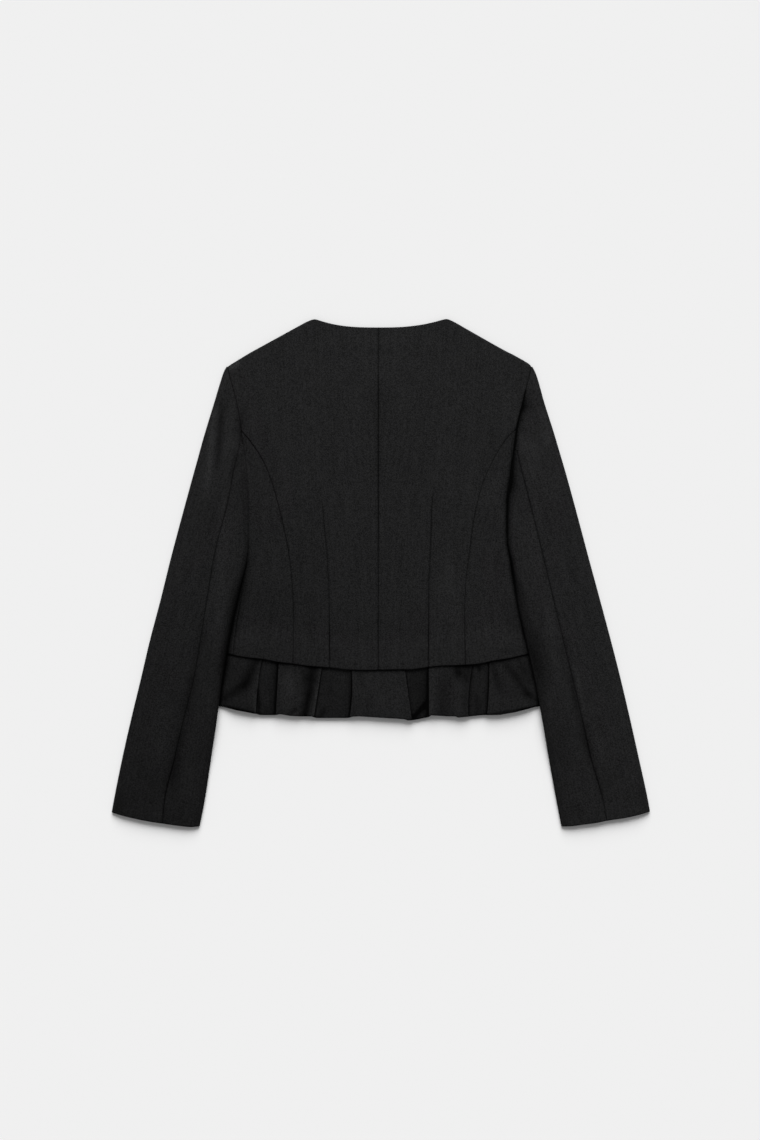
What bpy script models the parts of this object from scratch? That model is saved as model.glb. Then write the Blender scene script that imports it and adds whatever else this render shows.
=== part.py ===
"""Cropped jacket laid flat on its front, back up, with the sleeves beside the body.

Frame: +Z up off the table, +Y towards the neck, +X towards the right sleeve seen from above.
Sizes are millimetres until a mesh is made, which is in metres. "out" is the distance from the
middle line towards one side, so that both sides share their code.
"""

import math

import bmesh
import bpy
import numpy as np

MM = 0.001
SIDES = {"left": -1, "right": 1}
TABLE_CENTRE = (-0.14, -0.54, 0.0)

# Cloth, and the space between pieces and layers
CLOTH_COLOUR = (0.013, 0.013, 0.0135, 1.0)
CLOTH_ROUGHNESS = 0.88
WALL = 1.6
PEPLUM_WALL = 1.0
SEAM_GAP = 0.3
SLEEVE_GAP = 0.5
BODY_GAP = 2.4
SIDE_GAP = 1.2
CROWN = 1.2
FOLD_GAP, SLEEVE_FULL, FOLD_SOFT = 0.9, 4.2, 8.0
ROLL_ANGLES = np.radians((22, 44, 65))
ARMHOLE_INSETS = (4.5, 3.0, 1.5, 0.15)

# Body outline
CENTRE_OUT = {"left": 3.0, "right": -3.0}
FRONT_OUT = 0.5
NECK_Y, NECK_DEPTH, NECK_HALF = 320.1, 10.9, 86.5
FRONT_NECK_DEPTH = 105.0
NECK_DROOP = 1.2
TIP_Y = 269.7
TIP_OUT = {"left": 199.5, "right": 195.8}
SHOULDER_ROLL = 3.2
HEM_Y, HEM_RISE, HEM_HALF = -126.0, 20.6, 193.0
DART_TIP = {"left": 88.0, "right": 98.0}
DART_DEPTH, DART_HALF = 0.5, 2.0
WAIST_RISE, SIDE_RISE = 4.8, 0.1
WAIST_RAMP, SIDE_RAMP = 60.0, 25.0

# Sleeves
LIFT = 5.2
LIFT_EDGE, LIFT_RAMP = 9.0, 34.0
FOLD_OUT = 2.0
SLEEVE_END_Y = -310.0
UNDER_TOP_Y = {"left": 168.0, "right": 160.0}
FRONT_SEAM_IN = 25.0

# Peplum
PEPLUM_LENGTH = 63.0
PEPLUM_HEM_Y, PEPLUM_HEM_RISE, PEPLUM_HALF = -188.5, 14.0, 202.0
FRONT_SIDE_TOP, FRONT_SIDE_HEM = 176.0, 220.0
PLEAT_RETURN = 9.0


def table(columns, *rows):
    """A short table as arrays with names."""
    return dict(zip(columns.split(), np.array(rows, float).T))


# Edge of the body from the hem up the side to the underarm, then round the armhole to the shoulder
BODY_EDGE = table(
    "y left right",
    (-106, 204.0, 197.0),
    (-69, 199.5, 194.0),
    (-42, 194.0, 190.0),
    (-15, 188.0, 186.0),
    (15, 184.0, 184.0),
    (50, 186.0, 187.0),
    (88, 195.0, 195.5),
    (99, 187.0, 186.0),
    (113, 179.5, 177.0),
    (130, 177.0, 173.2),
    (150, 177.8, 173.4),
    (158, 177.1, 172.7),
    (172, 179.0, 175.3),
    (185, 181.4, 177.2),
    (209, 185.2, 182.3),
    (229, 189.3, 187.0),
    (250, 195.0, 191.8),
    (270, 199.5, 195.8),
)

# Curved seam between the centre back and the side back
PRINCESS = table(
    "y left right",
    (-120, 113.4, 110.0),
    (-56, 112.8, 108.8),
    (-17, 114.4, 110.1),
    (22, 118.7, 114.7),
    (61, 126.5, 119.6),
    (100, 136.2, 127.7),
    (126, 143.4, 135.5),
    (152, 155.1, 147.8),
    (165, 164.2, 156.8),
    (183, 180.6, 176.4),
)

# Waist dart, carried on past its tip to the neck point as the line the cloth grid follows
DART = table(
    "y left right",
    (-126, 66.7, 62.0),
    (-61, 66.7, 62.0),
    (-15, 68.0, 62.4),
    (23, 70.0, 64.4),
    (88, 75.8, 66.4),
    (200, 82.0, 78.0),
    (332, 86.5, 86.5),
)

# Rows of body cloth from hem to shoulder, by the height each has at the body's edge
BODY_ROWS = (-105.4, -94, -70, -40, 0, 40, 75, 88, 99, 113, 130, 150, 158, 170, 182, 188, 215, 245)

SIDE_SHARES = (0, 0.4, 0.75, 0.9, 1)

# Sleeve outline: fold along the body, back seam, outer fold
SLEEVE = table(
    "y inner_left inner_right seam_left seam_right outer_left outer_right",
    (-331, 236.2, 235.4, 284.2, 295.5, 353.0, 353.2),
    (-295, 229.1, 228.4, 281.2, 288.9, 346.7, 347.0),
    (-243, 221.1, 218.9, 268.8, 273.9, 336.3, 335.7),
    (-191, 213.1, 209.2, 256.5, 262.2, 324.6, 324.1),
    (-139, 206.7, 199.8, 243.5, 249.9, 312.0, 311.9),
    (-87, 198.6, 188.8, 234.4, 237.5, 299.8, 298.7),
    (-61, 193.7, 182.9, 230.2, 231.2, 293.0, 291.8),
    (-35, 188.2, 177.1, 225.9, 224.9, 286.1, 284.8),
    (-9, 180.4, 172.5, 221.7, 218.8, 279.7, 277.8),
    (17, 173.6, 168.6, 217.5, 212.6, 273.3, 270.7),
    (43, 172.0, 165.4, 211.6, 206.1, 266.5, 263.8),
    (95, 172.0, 165.4, 198.0, 193.1, 252.5, 249.9),
    (134, 174.2, 169.9, 191.0, 183.3, 241.8, 239.1),
    (153, 176.8, 172.3, 186.3, 178.4, 236.5, 233.5),
    (173, 179.4, 175.8, 182.5, 176.5, 231.0, 227.6),
    (185, 181.6, 177.5, 181.6, 177.5, 227.5, 224.0),
    (225, 188.7, 186.3, 188.7, 186.3, 215.3, 211.3),
    (251, 195.4, 192.2, 195.4, 192.2, 207.5, 204.1),
    (264, 198.9, 195.0, 198.9, 195.0, 203.2, 199.6),
    (270, 199.8, 196.1, 199.8, 196.1, 201.2, 197.6),
)
CAP_ROWS = (267, 263, 245, 215, 182)
SLEEVE_ROWS = (148, 130, 113, 99, 80, 55, 25, 0, -35, -75, -120, -160, -190, -220, -250, -280, -310)
# How far out a sleeve is held up by the body or the peplum under it
LIFT_LINE = table(
    "y out",
    (-200, 224),
    (-168, 222),
    (-140, 214),
    (-106, 206),
    (-60, 198),
    (0, 192),
    (50, 193),
    (88, 198),
    (120, 192),
    (150, 184),
    (183, 180),
)
CUFF = table(
    "out y",
    (233, -329.0),
    (255, -329.7),
    (276, -327.5),
    (297, -324.2),
    (318, -320.2),
    (338, -314.3),
    (352, -309.3),
)

# Inverted pleats of the back peplum: the two folds that face each other, at waist and hem,
# and how far each fold and the cloth between them hangs below the hem curve
BACK_PLEATS = table(
    "left_top left_hem right_top right_hem left_drop under_drop right_drop",
    (-155.0, -158.0, -134.0, -136.0, 1.0, 0.5, 0.0),
    (-75.5, -84.5, -38.0, -38.5, 0.0, 1.0, -1.0),
    (35.0, 42.0, 61.0, 62.0, 3.0, 2.0, -1.2),
    (120.5, 115.5, 141.0, 138.5, 0.0, 0.0, 0.0),
)
# Height of the front strip, of the back's lowest layer, its step from layer to layer and its two
# ends, and how far in from the ends the back comes up, by distance below the bodice edge
PEPLUM_LAYERS = table(
    "below front back_base back_step end_height left_end right_end side_start side_run",
    (-7, 2.4, 3.7, 1.30, 2.45, 199.0, 190.0, 0.0, 20.0),
    (0, 2.4, 3.7, 1.30, 2.45, 200.0, 191.0, 0.0, 20.0),
    (8, 0.5, 3.3, 1.50, 1.80, 205.0, 197.0, 1.0, 20.0),
    (20, 0.5, 2.8, 1.80, 1.80, 208.5, 202.5, 4.0, 22.0),
    (34, 0.5, 2.4, 2.10, 1.80, 212.0, 208.0, 7.0, 24.0),
    (48, 0.5, 2.2, 2.40, 1.80, 216.0, 214.0, 10.0, 27.0),
    (63, 0.5, 2.0, 2.70, 1.80, 220.0, 220.0, 12.0, 30.0),
)
# Main folds of the back peplum: a line, how wide to each side, and its height, a trough below zero
PEPLUM_FOLDS = table(
    "x0 y0 x1 y1 wide high",
    (-153, -112, -206, -162, 7, -2.6),
    (-88, -118, -105, -186, 7, -3.2),
    (-112, -126, -122, -188, 10, 1.2),
    (96, -118, 94, -190, 9, -1.8),
    (156, -116, 190, -162, 7, -1.8),
)
PANEL_SHARES = (0.14, 0.28, 0.42, 0.58, 0.72, 0.86)
FRONT_STRIP_COLUMNS = 12
FRONT_SHORTER = 2.0


def ease(t):
    t = np.clip(t, 0, 1)
    return t * t * (3 - 2 * t)


def mix(a, b, t):
    return a + (b - a) * t


def smooth(at, known, values):
    """Curve through table rows that never overshoots them, level beyond its end rows."""
    step = np.diff(known)
    slope = np.diff(values) / step
    before, after = slope[:-1], slope[1:]
    turn = before * after > 0
    bend = np.where(turn, 2 * before * after / np.where(turn, before + after, 1), 0)
    tangent = np.concatenate([slope[:1], bend, slope[-1:]])
    at = np.clip(at, known[0], known[-1])
    i = np.clip(np.searchsorted(known, at) - 1, 0, len(step) - 1)
    t = (at - known[i]) / step[i]
    start = (1 + 2 * t) * (1 - t) ** 2 * values[i] + t * (1 - t) ** 2 * step[i] * tangent[i]
    end = t * t * (3 - 2 * t) * values[i + 1] + t * t * (t - 1) * step[i] * tangent[i + 1]
    return start + end


def body_edge(y, side):
    return smooth(y, BODY_EDGE["y"], BODY_EDGE[side])


def princess(y, side):
    return smooth(y, PRINCESS["y"], PRINCESS[side])


def dart(y, side):
    return smooth(y, DART["y"], DART[side])


def sleeve(y, line, side):
    return smooth(y, SLEEVE["y"], SLEEVE[line + "_" + side])


def hem(out):
    return HEM_Y + HEM_RISE * (out / HEM_HALF) ** 2


def shoulder(out, side):
    neck_point = NECK_Y + NECK_DEPTH
    return mix(neck_point, TIP_Y, (out - NECK_HALF) / (TIP_OUT[side] - NECK_HALF))


def back_top(out, side):
    neck = NECK_Y + NECK_DEPTH * np.abs(out / NECK_HALF) ** 3
    return np.where(out < NECK_HALF, neck, shoulder(out, side))


def front_top(out, side):
    neck = NECK_Y + NECK_DEPTH - FRONT_NECK_DEPTH * (1 - (out / NECK_HALF) ** 2)
    return np.where(out < NECK_HALF, neck, shoulder(out, side))


def back_height(out, y, side):
    """Middle of the back cloth: pressed down at the sides, raised over the pleats at the waist."""
    edge = body_edge(y, side)
    pressed = ease((out - edge + 70) / 35) * ease((185 - y) / 45)
    height = 1.5 * WALL + mix(BODY_GAP, SIDE_GAP, pressed)
    height = height + CROWN * ease((edge - out) / 90) * ease((hem(out) + 440 - y) / 90)
    height = height - NECK_DROOP * ease((y - 290) / 35) * ease((NECK_HALF - out) / 40)
    ramp = mix(SIDE_RAMP, WAIST_RAMP, ease((edge - 10 - out) / 50))
    over_pleats = ease((hem(out) + 10 + ramp - y) / ramp)
    rise = WAIST_RISE * over_pleats * mix(SIDE_RISE, 1, ease((edge - 2 - out) / 17))
    return np.maximum(height, 1.5 * WALL + SIDE_GAP + rise)


def black_cloth(name):
    material = bpy.data.materials.new(name)
    material.use_nodes = True
    shader = material.node_tree.nodes["Principled BSDF"]
    shader.inputs["Base Color"].default_value = CLOTH_COLOUR
    shader.inputs["Roughness"].default_value = CLOTH_ROUGHNESS
    return material


def wall(name, mid, thickness):
    """One piece of cloth: a grid of points halfway through it, thickened and closed at its edges."""
    def heading(points):
        piece = np.diff(points, axis=0)
        piece /= np.linalg.norm(piece, axis=2, keepdims=True)
        return np.concatenate([piece[:1], piece[:-1] + piece[1:], piece[-1:]])

    down = heading(mid)
    across = heading(mid.transpose(1, 0, 2)).transpose(1, 0, 2)
    normal = np.cross(across, down)
    normal /= np.linalg.norm(normal, axis=2, keepdims=True)
    rows, columns = mid.shape[:2]
    half = normal * thickness / 2
    points = np.concatenate([(mid + half).reshape(-1, 3), (mid - half).reshape(-1, 3)]) * MM
    centre = points.mean(axis=0)

    mesh = bpy.data.meshes.new(name)
    form = bmesh.new()
    corner = [form.verts.new(point) for point in points - centre]
    far = rows * columns
    number = np.arange(far).reshape(rows, columns)
    for r in range(rows - 1):
        for c in range(columns - 1):
            square = number[r, c], number[r, c + 1], number[r + 1, c + 1], number[r + 1, c]
            form.faces.new([corner[k] for k in square])
            form.faces.new([corner[k + far] for k in reversed(square)])
    rim = list(number[0, :-1]) + list(number[:-1, -1]) + list(number[-1, :0:-1]) + list(number[:0:-1, 0])
    for a, b in zip(rim, rim[1:] + rim[:1]):
        form.faces.new([corner[k] for k in (b, a, a + far, b + far)])
    bmesh.ops.recalc_face_normals(form, faces=form.faces)
    bmesh.ops.triangulate(form, faces=form.faces)
    form.to_mesh(mesh)
    form.free()
    piece = bpy.data.objects.new(name, mesh)
    piece.location = centre
    mesh.materials.append(black_cloth(name + "_cloth"))
    bpy.context.scene.collection.objects.link(piece)
    return piece


def place(side, out, y, z):
    return np.stack([SIDES[side] * out, y, z], axis=-1)


def cloth_rows(columns, tops):
    """Body cloth: each column runs from the bodice edge up to its own top, in shared rows."""
    low = BODY_ROWS[0]
    share = (np.append(BODY_ROWS, TIP_Y - SHOULDER_ROLL) - low) / (TIP_Y - SHOULDER_ROLL - low)
    outs, ys = [], []
    for column, top in zip(columns, tops):
        y = mix(HEM_Y, top, share)
        for _ in range(8):
            out = column(y)
            y = mix(hem(out), top, share)
        outs.append(out)
        ys.append(y)
    return np.array(outs).T, np.array(ys).T


def roll_rows(out, y, z, edge, turn, seam_height):
    """Rows added along a top edge that roll over to the seam, where turn is 1, or lie flat."""
    outs, ys, zs = [out], [y], [z]
    radius = (z[-1] - seam_height)
    slant = math.hypot(1, (NECK_Y + NECK_DEPTH - TIP_Y) / (TIP_OUT["left"] - NECK_HALF))
    for angle in ROLL_ANGLES:
        inset = (np.abs(radius) * (1 - math.sin(angle)) + turn * WALL / 2) * slant
        drop = turn * radius * (1 - math.cos(angle))
        outs.append(out[-1:])
        ys.append((edge - inset)[None])
        zs.append((z[-1] - drop)[None])
    return np.concatenate(outs), np.concatenate(ys), np.concatenate(zs)


def side_columns(y, side, upward):
    """Out and z of the columns that roll over along the body's side, flat beside the armhole."""
    edge = body_edge(y, side)
    turn = 1 - ease((y - 76) / 14)
    room = np.clip((edge - princess(y, side)) / 9, 0.05, 1)
    flat = back_height(edge - 3, y, side)
    radius = (flat - WALL / 2) / 2
    start = WALL / 2 if upward else flat
    way = 1 if upward else -1
    margin = WALL / 2
    steps = [(edge - mix(room * ARMHOLE_INSETS[0], margin + radius, turn), start)]
    for angle, flat_inset in zip(ROLL_ANGLES, ARMHOLE_INSETS[1:]):
        drop = radius * (1 - math.cos(angle))
        inset = mix(room * flat_inset, margin + radius * (1 - math.sin(angle)), turn)
        steps.append((edge - inset, start + way * turn * drop))
    return steps


def centre_back(side):
    middle = CENTRE_OUT[side]
    half = SEAM_GAP / 2
    before, after = (0, 0.25, 0.5, 0.75), (0.3, 0.65, 1)
    columns = [lambda y, f=f: mix(middle + half, dart(y, side) - DART_HALF, f) for f in before]
    tops = [mix(middle, NECK_HALF - DART_HALF, f) for f in before]
    for shift in (-DART_HALF, 0, DART_HALF):
        columns.append(lambda y, s=shift: dart(y, side) + s)
        tops.append(NECK_HALF + shift)
    outer = lambda y: np.where(y < 183, princess(y, side), body_edge(y, side)) - half
    for f in after:
        columns.append(lambda y, f=f: mix(dart(y, side) + DART_HALF, outer(y), f))
        tops.append(mix(NECK_HALF + DART_HALF, TIP_OUT[side], f))
    tops = np.array(tops)
    edge = back_top(tops, side)
    turn = ease((tops - NECK_HALF) / 12)
    out, y = cloth_rows(columns, edge - SHOULDER_ROLL)
    z = back_height(out, y, side)
    line = len(before) + 1
    z[:, line] -= DART_DEPTH * ease((DART_TIP[side] - y[:, line]) / 40)
    seam = (z[-1] + WALL / 2) / 2
    out, y, z = roll_rows(out, y, z, edge, turn, seam)
    return wall("centre_back_" + side, place(side, out, y, z), WALL)


def side_back(side):
    half = SEAM_GAP / 2
    rows = len(BODY_ROWS) - 3
    flat_edge = lambda y: side_columns(y, side, False)[0][0]
    columns = [lambda y, f=f: mix(princess(y, side) + half, flat_edge(y), f) for f in SIDE_SHARES]
    for k in (1, 2, 3):
        columns.append(lambda y, k=k: side_columns(y, side, False)[k][0])
    out, y = cloth_rows(columns, [TIP_Y - SHOULDER_ROLL] * len(columns))
    out, y = out[:rows], y[:rows]
    z = back_height(out, y, side)
    for k in (1, 2, 3):
        roll = len(SIDE_SHARES) - 1 + k
        z[:, roll] = side_columns(y[:, roll], side, False)[k][1]
    return wall("side_back_" + side, place(side, out, y, z), WALL)


def front(side):
    before, after = (0, 0.25, 0.5, 0.75), (0.33, 0.67, 1)
    flat_edge = lambda y: side_columns(y, side, True)[0][0]
    columns = [lambda y, f=f: mix(FRONT_OUT, dart(y, side), f) for f in before]
    tops = [mix(FRONT_OUT, NECK_HALF, f) for f in before] + [NECK_HALF]
    columns.append(lambda y: dart(y, side))
    for f in after:
        columns.append(lambda y, f=f: mix(dart(y, side), flat_edge(y), f))
        tops.append(mix(NECK_HALF, TIP_OUT[side] - ARMHOLE_INSETS[0], f))
    for k in (1, 2, 3):
        columns.append(lambda y, k=k: side_columns(y, side, True)[k][0])
        tops.append(TIP_OUT[side] - ARMHOLE_INSETS[k])
    tops = np.array(tops)
    edge = front_top(tops, side)
    turn = ease((tops - NECK_HALF) / 12)
    out, y = cloth_rows(columns, edge - SHOULDER_ROLL)
    z = np.full_like(out, WALL / 2)
    for k in (1, 2, 3):
        roll = len(before) + len(after) + k
        z[:, roll] = side_columns(y[:, roll], side, True)[k][1]
    seam = (back_height(out[-1], y[-1], side) + WALL / 2) / 2
    out, y, z = roll_rows(out, y, z, edge, turn, seam)
    return wall("front_" + side, place(side, out, y, z), WALL)


def lift(out, y):
    """How far a sleeve is raised where it lies on the body or on the peplum."""
    under = smooth(y, LIFT_LINE["y"], LIFT_LINE["out"])
    along = ease((183 - y) / 33) * ease((y + 265) / 80)
    return LIFT * along * ease((under + LIFT_EDGE + LIFT_RAMP - out) / LIFT_RAMP)


def sleeve_low(out, y):
    return WALL / 2 + lift(out, y)


def sleeve_high(out, y, side):
    """Middle of the upper sleeve cloth, full in the middle and rolling down to both folds."""
    inner_gap = mix(FOLD_GAP, BODY_GAP, ease((y - 150) / 35))
    from_inner = np.exp(-np.maximum(out - sleeve(y, "inner", side), 0) / FOLD_SOFT)
    from_outer = np.exp(-np.maximum(sleeve(y, "outer", side) - out, 0) / FOLD_SOFT)
    gap = SLEEVE_FULL - (SLEEVE_FULL - inner_gap) * from_inner - (SLEEVE_FULL - FOLD_GAP) * from_outer
    return sleeve_low(out, y) + WALL + np.maximum(gap, FOLD_GAP)


def cuff_rows(rows, column):
    """Points of one sleeve column, its rows bending from level to the curve of the cuff."""
    y = np.array(rows, float)
    share = ease((-60 - y) / 250)
    for _ in range(8):
        out = column(y)
        y = np.array(rows) + share * (smooth(out, CUFF["out"], CUFF["y"]) - SLEEVE_END_Y)
    return out, y


def sleeve_piece(name, side, rows, top_from, low_from, fold, way, top_shares, low_count):
    """A sleeve piece from the seam on top, round a fold, to the seam underneath."""
    radius = lambda y: np.minimum(FOLD_OUT, 0.55 * (np.abs(top_from(y) - fold(y)) - WALL / 2))
    centre = lambda y: fold(y) - way * (WALL / 2 + radius(y))
    points = []
    for f in top_shares:
        out, y = cuff_rows(rows, lambda y, f=f: mix(top_from(y), centre(y), f))
        points.append(place(side, out, y, sleeve_high(out, y, side)))
    for angle in np.radians((45, 90, 135)):
        out, y = cuff_rows(rows, lambda y, a=angle: centre(y) + way * radius(y) * math.sin(a))
        high, low = sleeve_high(centre(y), y, side), sleeve_low(centre(y), y)
        points.append(place(side, out, y, mix(low, high, (1 + math.cos(angle)) / 2)))
    for f in np.linspace(1, 0, low_count):
        out, y = cuff_rows(rows, lambda y, f=f: mix(low_from(y), centre(y), f))
        points.append(place(side, out, y, sleeve_low(out, y)))
    return wall(name, np.array(points).transpose(1, 0, 2), WALL)


def front_seam(y, side):
    return sleeve(y, "inner", side) + 5 + FRONT_SEAM_IN * ease((170 - y) / 60)


def sleeve_upper(side):
    half = SLEEVE_GAP / 2
    armhole = lambda y: body_edge(y, side) + SEAM_GAP * ease((180 - y) / 12)
    above = lambda y, seam: np.where(y > UNDER_TOP_Y[side] + 1, armhole(y), seam) + half
    top_from = lambda y: above(y, sleeve(y, "seam", side))
    low_from = lambda y: above(y, front_seam(y, side))
    fold = lambda y: sleeve(y, "outer", side)
    rows = CAP_ROWS + (UNDER_TOP_Y[side] + 2, UNDER_TOP_Y[side]) + SLEEVE_ROWS
    return sleeve_piece("sleeve_upper_" + side, side, rows, top_from, low_from, fold, 1, (0, 0.3, 0.55, 0.75, 0.9, 1), 7)


def sleeve_under(side):
    half = SLEEVE_GAP / 2
    rows = (UNDER_TOP_Y[side],) + SLEEVE_ROWS
    top_from = lambda y: sleeve(y, "seam", side) - half
    low_from = lambda y: front_seam(y, side) - half
    fold = lambda y: sleeve(y, "inner", side)
    return sleeve_piece("sleeve_under_" + side, side, rows, top_from, low_from, fold, -1, (0, 0.35, 0.6, 0.8, 1), 3)


def turn(centre, level, radius, way, angles):
    """A half turn of the pleated strip between two layers."""
    return [(centre + way * radius * math.cos(a), level + 0.5 * math.sin(a)) for a in angles]


def pleat_path(ends, folds, radius):
    """Across one row of peplum: x and layer of each point, over, under and over again at each pleat."""
    down = np.radians((90, 45, 0, -45, -90))
    up = down[::-1]
    path = [(ends[0], 2)]
    for left, right in folds:
        start = path[-1][0]
        fold = left - PEPLUM_WALL / 2 - radius
        path += [(mix(start, fold, f), 2) for f in PANEL_SHARES]
        path += turn(fold, 1.5, radius, 1, down)
        path += turn(left - PLEAT_RETURN, 0.5, radius, -1, down)
        path += [(mix(left - PLEAT_RETURN, right + PLEAT_RETURN, f), 0) for f in (0.35, 0.65)]
        path += turn(right + PLEAT_RETURN, 0.5, radius, 1, up)
        path += turn(right + PEPLUM_WALL / 2 + radius, 1.5, radius, -1, up)
    start = path[-1][0]
    path += [(mix(start, ends[1], f), 2) for f in PANEL_SHARES + (1,)]
    return np.array(path)


def pleat_drop(x):
    """How far the hem hangs below its curve, by the folds that are nearest."""
    known, drop = [-FRONT_SIDE_HEM], [0.0]
    for left, right, first, under, last in zip(*(BACK_PLEATS[k] for k in (
            "left_hem", "right_hem", "left_drop", "under_drop", "right_drop"))):
        known += [left, mix(left, right, 0.1), mix(left, right, 0.9), right]
        drop += [first, under, under, last]
    return np.interp(x, known + [FRONT_SIDE_HEM], drop + [0.0])


def peplum_y(x, below, drop):
    """How far down a peplum point lies, its rows going from the bodice edge to the hem curve."""
    share = max(below, 0) / PEPLUM_LENGTH
    hem_y = PEPLUM_HEM_Y + PEPLUM_HEM_RISE * (np.abs(x) / PEPLUM_HALF) ** 4 - drop
    return mix(hem(np.abs(x)), hem_y, share) - min(below, 0)


def folds(x, y, lines):
    """Height of all the soft folds at these points, each one fading towards its ends."""
    total = np.zeros_like(x)
    for x0, y0, x1, y1, wide, high in zip(*lines.values()):
        length = math.hypot(x1 - x0, y1 - y0)
        along = ((x - x0) * (x1 - x0) + (y - y0) * (y1 - y0)) / length ** 2
        off = ((x - x0) * (y1 - y0) - (y - y0) * (x1 - x0)) / length
        fade = ease((along + 0.1) / 0.4) * ease((1.1 - along) / 0.4)
        total += high * fade * np.exp(-((off / wide) ** 2))
    return total


def peplum_back():
    """Pleated strip below the bodice edge, its top tucked in under it."""
    grid = []
    for below, _, base, step, low, left_end, right_end, start, run in zip(*PEPLUM_LAYERS.values()):
        share = max(below, 0) / PEPLUM_LENGTH
        pleats = np.stack([mix(BACK_PLEATS["left_top"], BACK_PLEATS["left_hem"], share),
                           mix(BACK_PLEATS["right_top"], BACK_PLEATS["right_hem"], share)], axis=1)
        x, level = pleat_path((-left_end, right_end), pleats, step / 2).T
        y = peplum_y(x, below, pleat_drop(x))
        fold = folds(x, y, PEPLUM_FOLDS) * ease((below - 8) / 20)
        free = np.min([np.maximum(left - x, x - right) for left, right in pleats], axis=0) - PLEAT_RETURN
        squeeze = np.maximum(mix(0.72, 0.4, ease(free / 8)), 1 + fold / (base + 2 * step - low))
        inside = np.minimum(x + left_end, right_end - x)
        z = low + (base + level * step - low) * squeeze * ease((inside - start) / run)
        grid.append(np.stack([x, y, z], axis=1))
    return wall("peplum_back", np.array(grid), PEPLUM_WALL)


def peplum_front(side):
    """Plain strip under the back peplum, from the side to the middle of the front."""
    grid = []
    for below, front_z in zip(PEPLUM_LAYERS["below"], PEPLUM_LAYERS["front"]):
        end = mix(FRONT_SIDE_TOP, FRONT_SIDE_HEM, max(below, 0) / PEPLUM_LENGTH)
        out = np.linspace(FRONT_OUT, end, FRONT_STRIP_COLUMNS)
        grid.append(place(side, out, peplum_y(out, below, -FRONT_SHORTER), np.full_like(out, front_z)))
    return wall("peplum_front_" + side, np.array(grid), PEPLUM_WALL)


def build():
    for old in list(bpy.data.objects):
        bpy.data.objects.remove(old)
    pieces = []
    for side in SIDES:
        pieces.append(centre_back(side))
        pieces.append(side_back(side))
        pieces.append(front(side))
        pieces.append(sleeve_upper(side))
        pieces.append(sleeve_under(side))
        pieces.append(peplum_front(side))
    pieces.append(peplum_back())
    jacket = bpy.data.objects.new("jacket", None)
    jacket.location = np.array(TABLE_CENTRE) * MM
    bpy.context.scene.collection.objects.link(jacket)
    for piece in pieces:
        piece.parent = jacket


build()
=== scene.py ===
"""Looks of a cropped black jacket that lies flat on its front, back up, seen straight from above.

Frame: +Z up off the table, +Y towards the neck, +X towards the right sleeve seen from above.
Sizes are millimetres until a mesh is made, which is in metres. "out" is the distance from the
middle line towards one side, so that both sides share their code. A name that ends in RUN is the
length over which something changes from none to full.
"""

import math

import bpy
import numpy as np
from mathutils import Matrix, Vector


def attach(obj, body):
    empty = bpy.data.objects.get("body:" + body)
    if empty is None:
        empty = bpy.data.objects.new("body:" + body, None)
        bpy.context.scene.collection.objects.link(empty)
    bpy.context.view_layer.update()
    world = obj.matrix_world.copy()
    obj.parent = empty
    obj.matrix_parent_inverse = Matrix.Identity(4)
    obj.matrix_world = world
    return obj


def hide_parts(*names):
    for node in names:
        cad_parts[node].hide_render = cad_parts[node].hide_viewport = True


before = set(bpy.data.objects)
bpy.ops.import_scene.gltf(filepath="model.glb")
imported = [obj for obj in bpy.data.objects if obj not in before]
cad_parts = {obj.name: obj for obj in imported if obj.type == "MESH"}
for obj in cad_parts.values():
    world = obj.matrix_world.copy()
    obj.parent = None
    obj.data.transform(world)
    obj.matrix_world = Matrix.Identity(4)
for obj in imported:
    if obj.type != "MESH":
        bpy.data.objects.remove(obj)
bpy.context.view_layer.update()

MM = 0.001
SIDES = {"left": -1, "right": 1}
# Shift of all the cloth that puts the middle of the jacket where the frame has it
CENTRING = (-0.14, -0.54, 0.0)

# Photograph: pixels of its long side, what one of them measures, and the point in its middle
PHOTO_LONG = 1140
MM_PER_PIXEL = 1.3
PHOTO_MIDDLE = (-1.2, 4.0, 6.0)
LENS = 85.0

# Studio, in metres and degrees: floor, reach of the camera, lamp, and even light from all round
FLOOR_HALF, FLOOR_COLOUR = 60.0, (0.9, 0.9, 0.9, 1)
VIEW_REACH = 100.0
LAMP_TURNED, LAMP_HEIGHT, LAMP_SPREAD = 2, 35, 48
LAMP_ENERGY = 3.82
ROUND_LIGHT, ROUND_COLOUR = 0.27, (1, 1, 1, 1)

# Suiting: its blacks, how strong its flecks and slubs are, and the pitch of its yarns in metres
BODICE_BLACK = (0.0150, 0.0150, 0.0153)
# The peplum's black is the bodice black, darkened a little as painted shade
PEPLUM_SHADED_BLACK = (0.0144, 0.0144, 0.0147)
FLECK, SLUB = 1.0, 0.5
YARN_PITCH = 0.0009
# Slubs: how many come in a metre, across and along the cloth, and how strong the second and third are
STREAK, LONG_STREAK, CLOUD = (420, 14, 1), (70, 6, 1), (60, 45, 1)
LONG_STREAK_SHARE, CLOUD_SHARE = 0.4, 0.5
# Least light left where the most shade is painted, and least shade of a yarn
LEAST_LIT, LEAST_SHADE = 0.06, 0.15
YARN_RELIEF, RELIEF_STRENGTH, RELIEF_DEPTH = 0.6, 0.5, 0.0002
ROUGH, ROUGH_SPREAD = 0.86, 0.12
GLOSS = 0.02
BLOOM, BLOOM_ROUGH, BLOOM_TINT = 0.01, 0.5, (0.8, 0.8, 0.82, 1.0)

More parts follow.
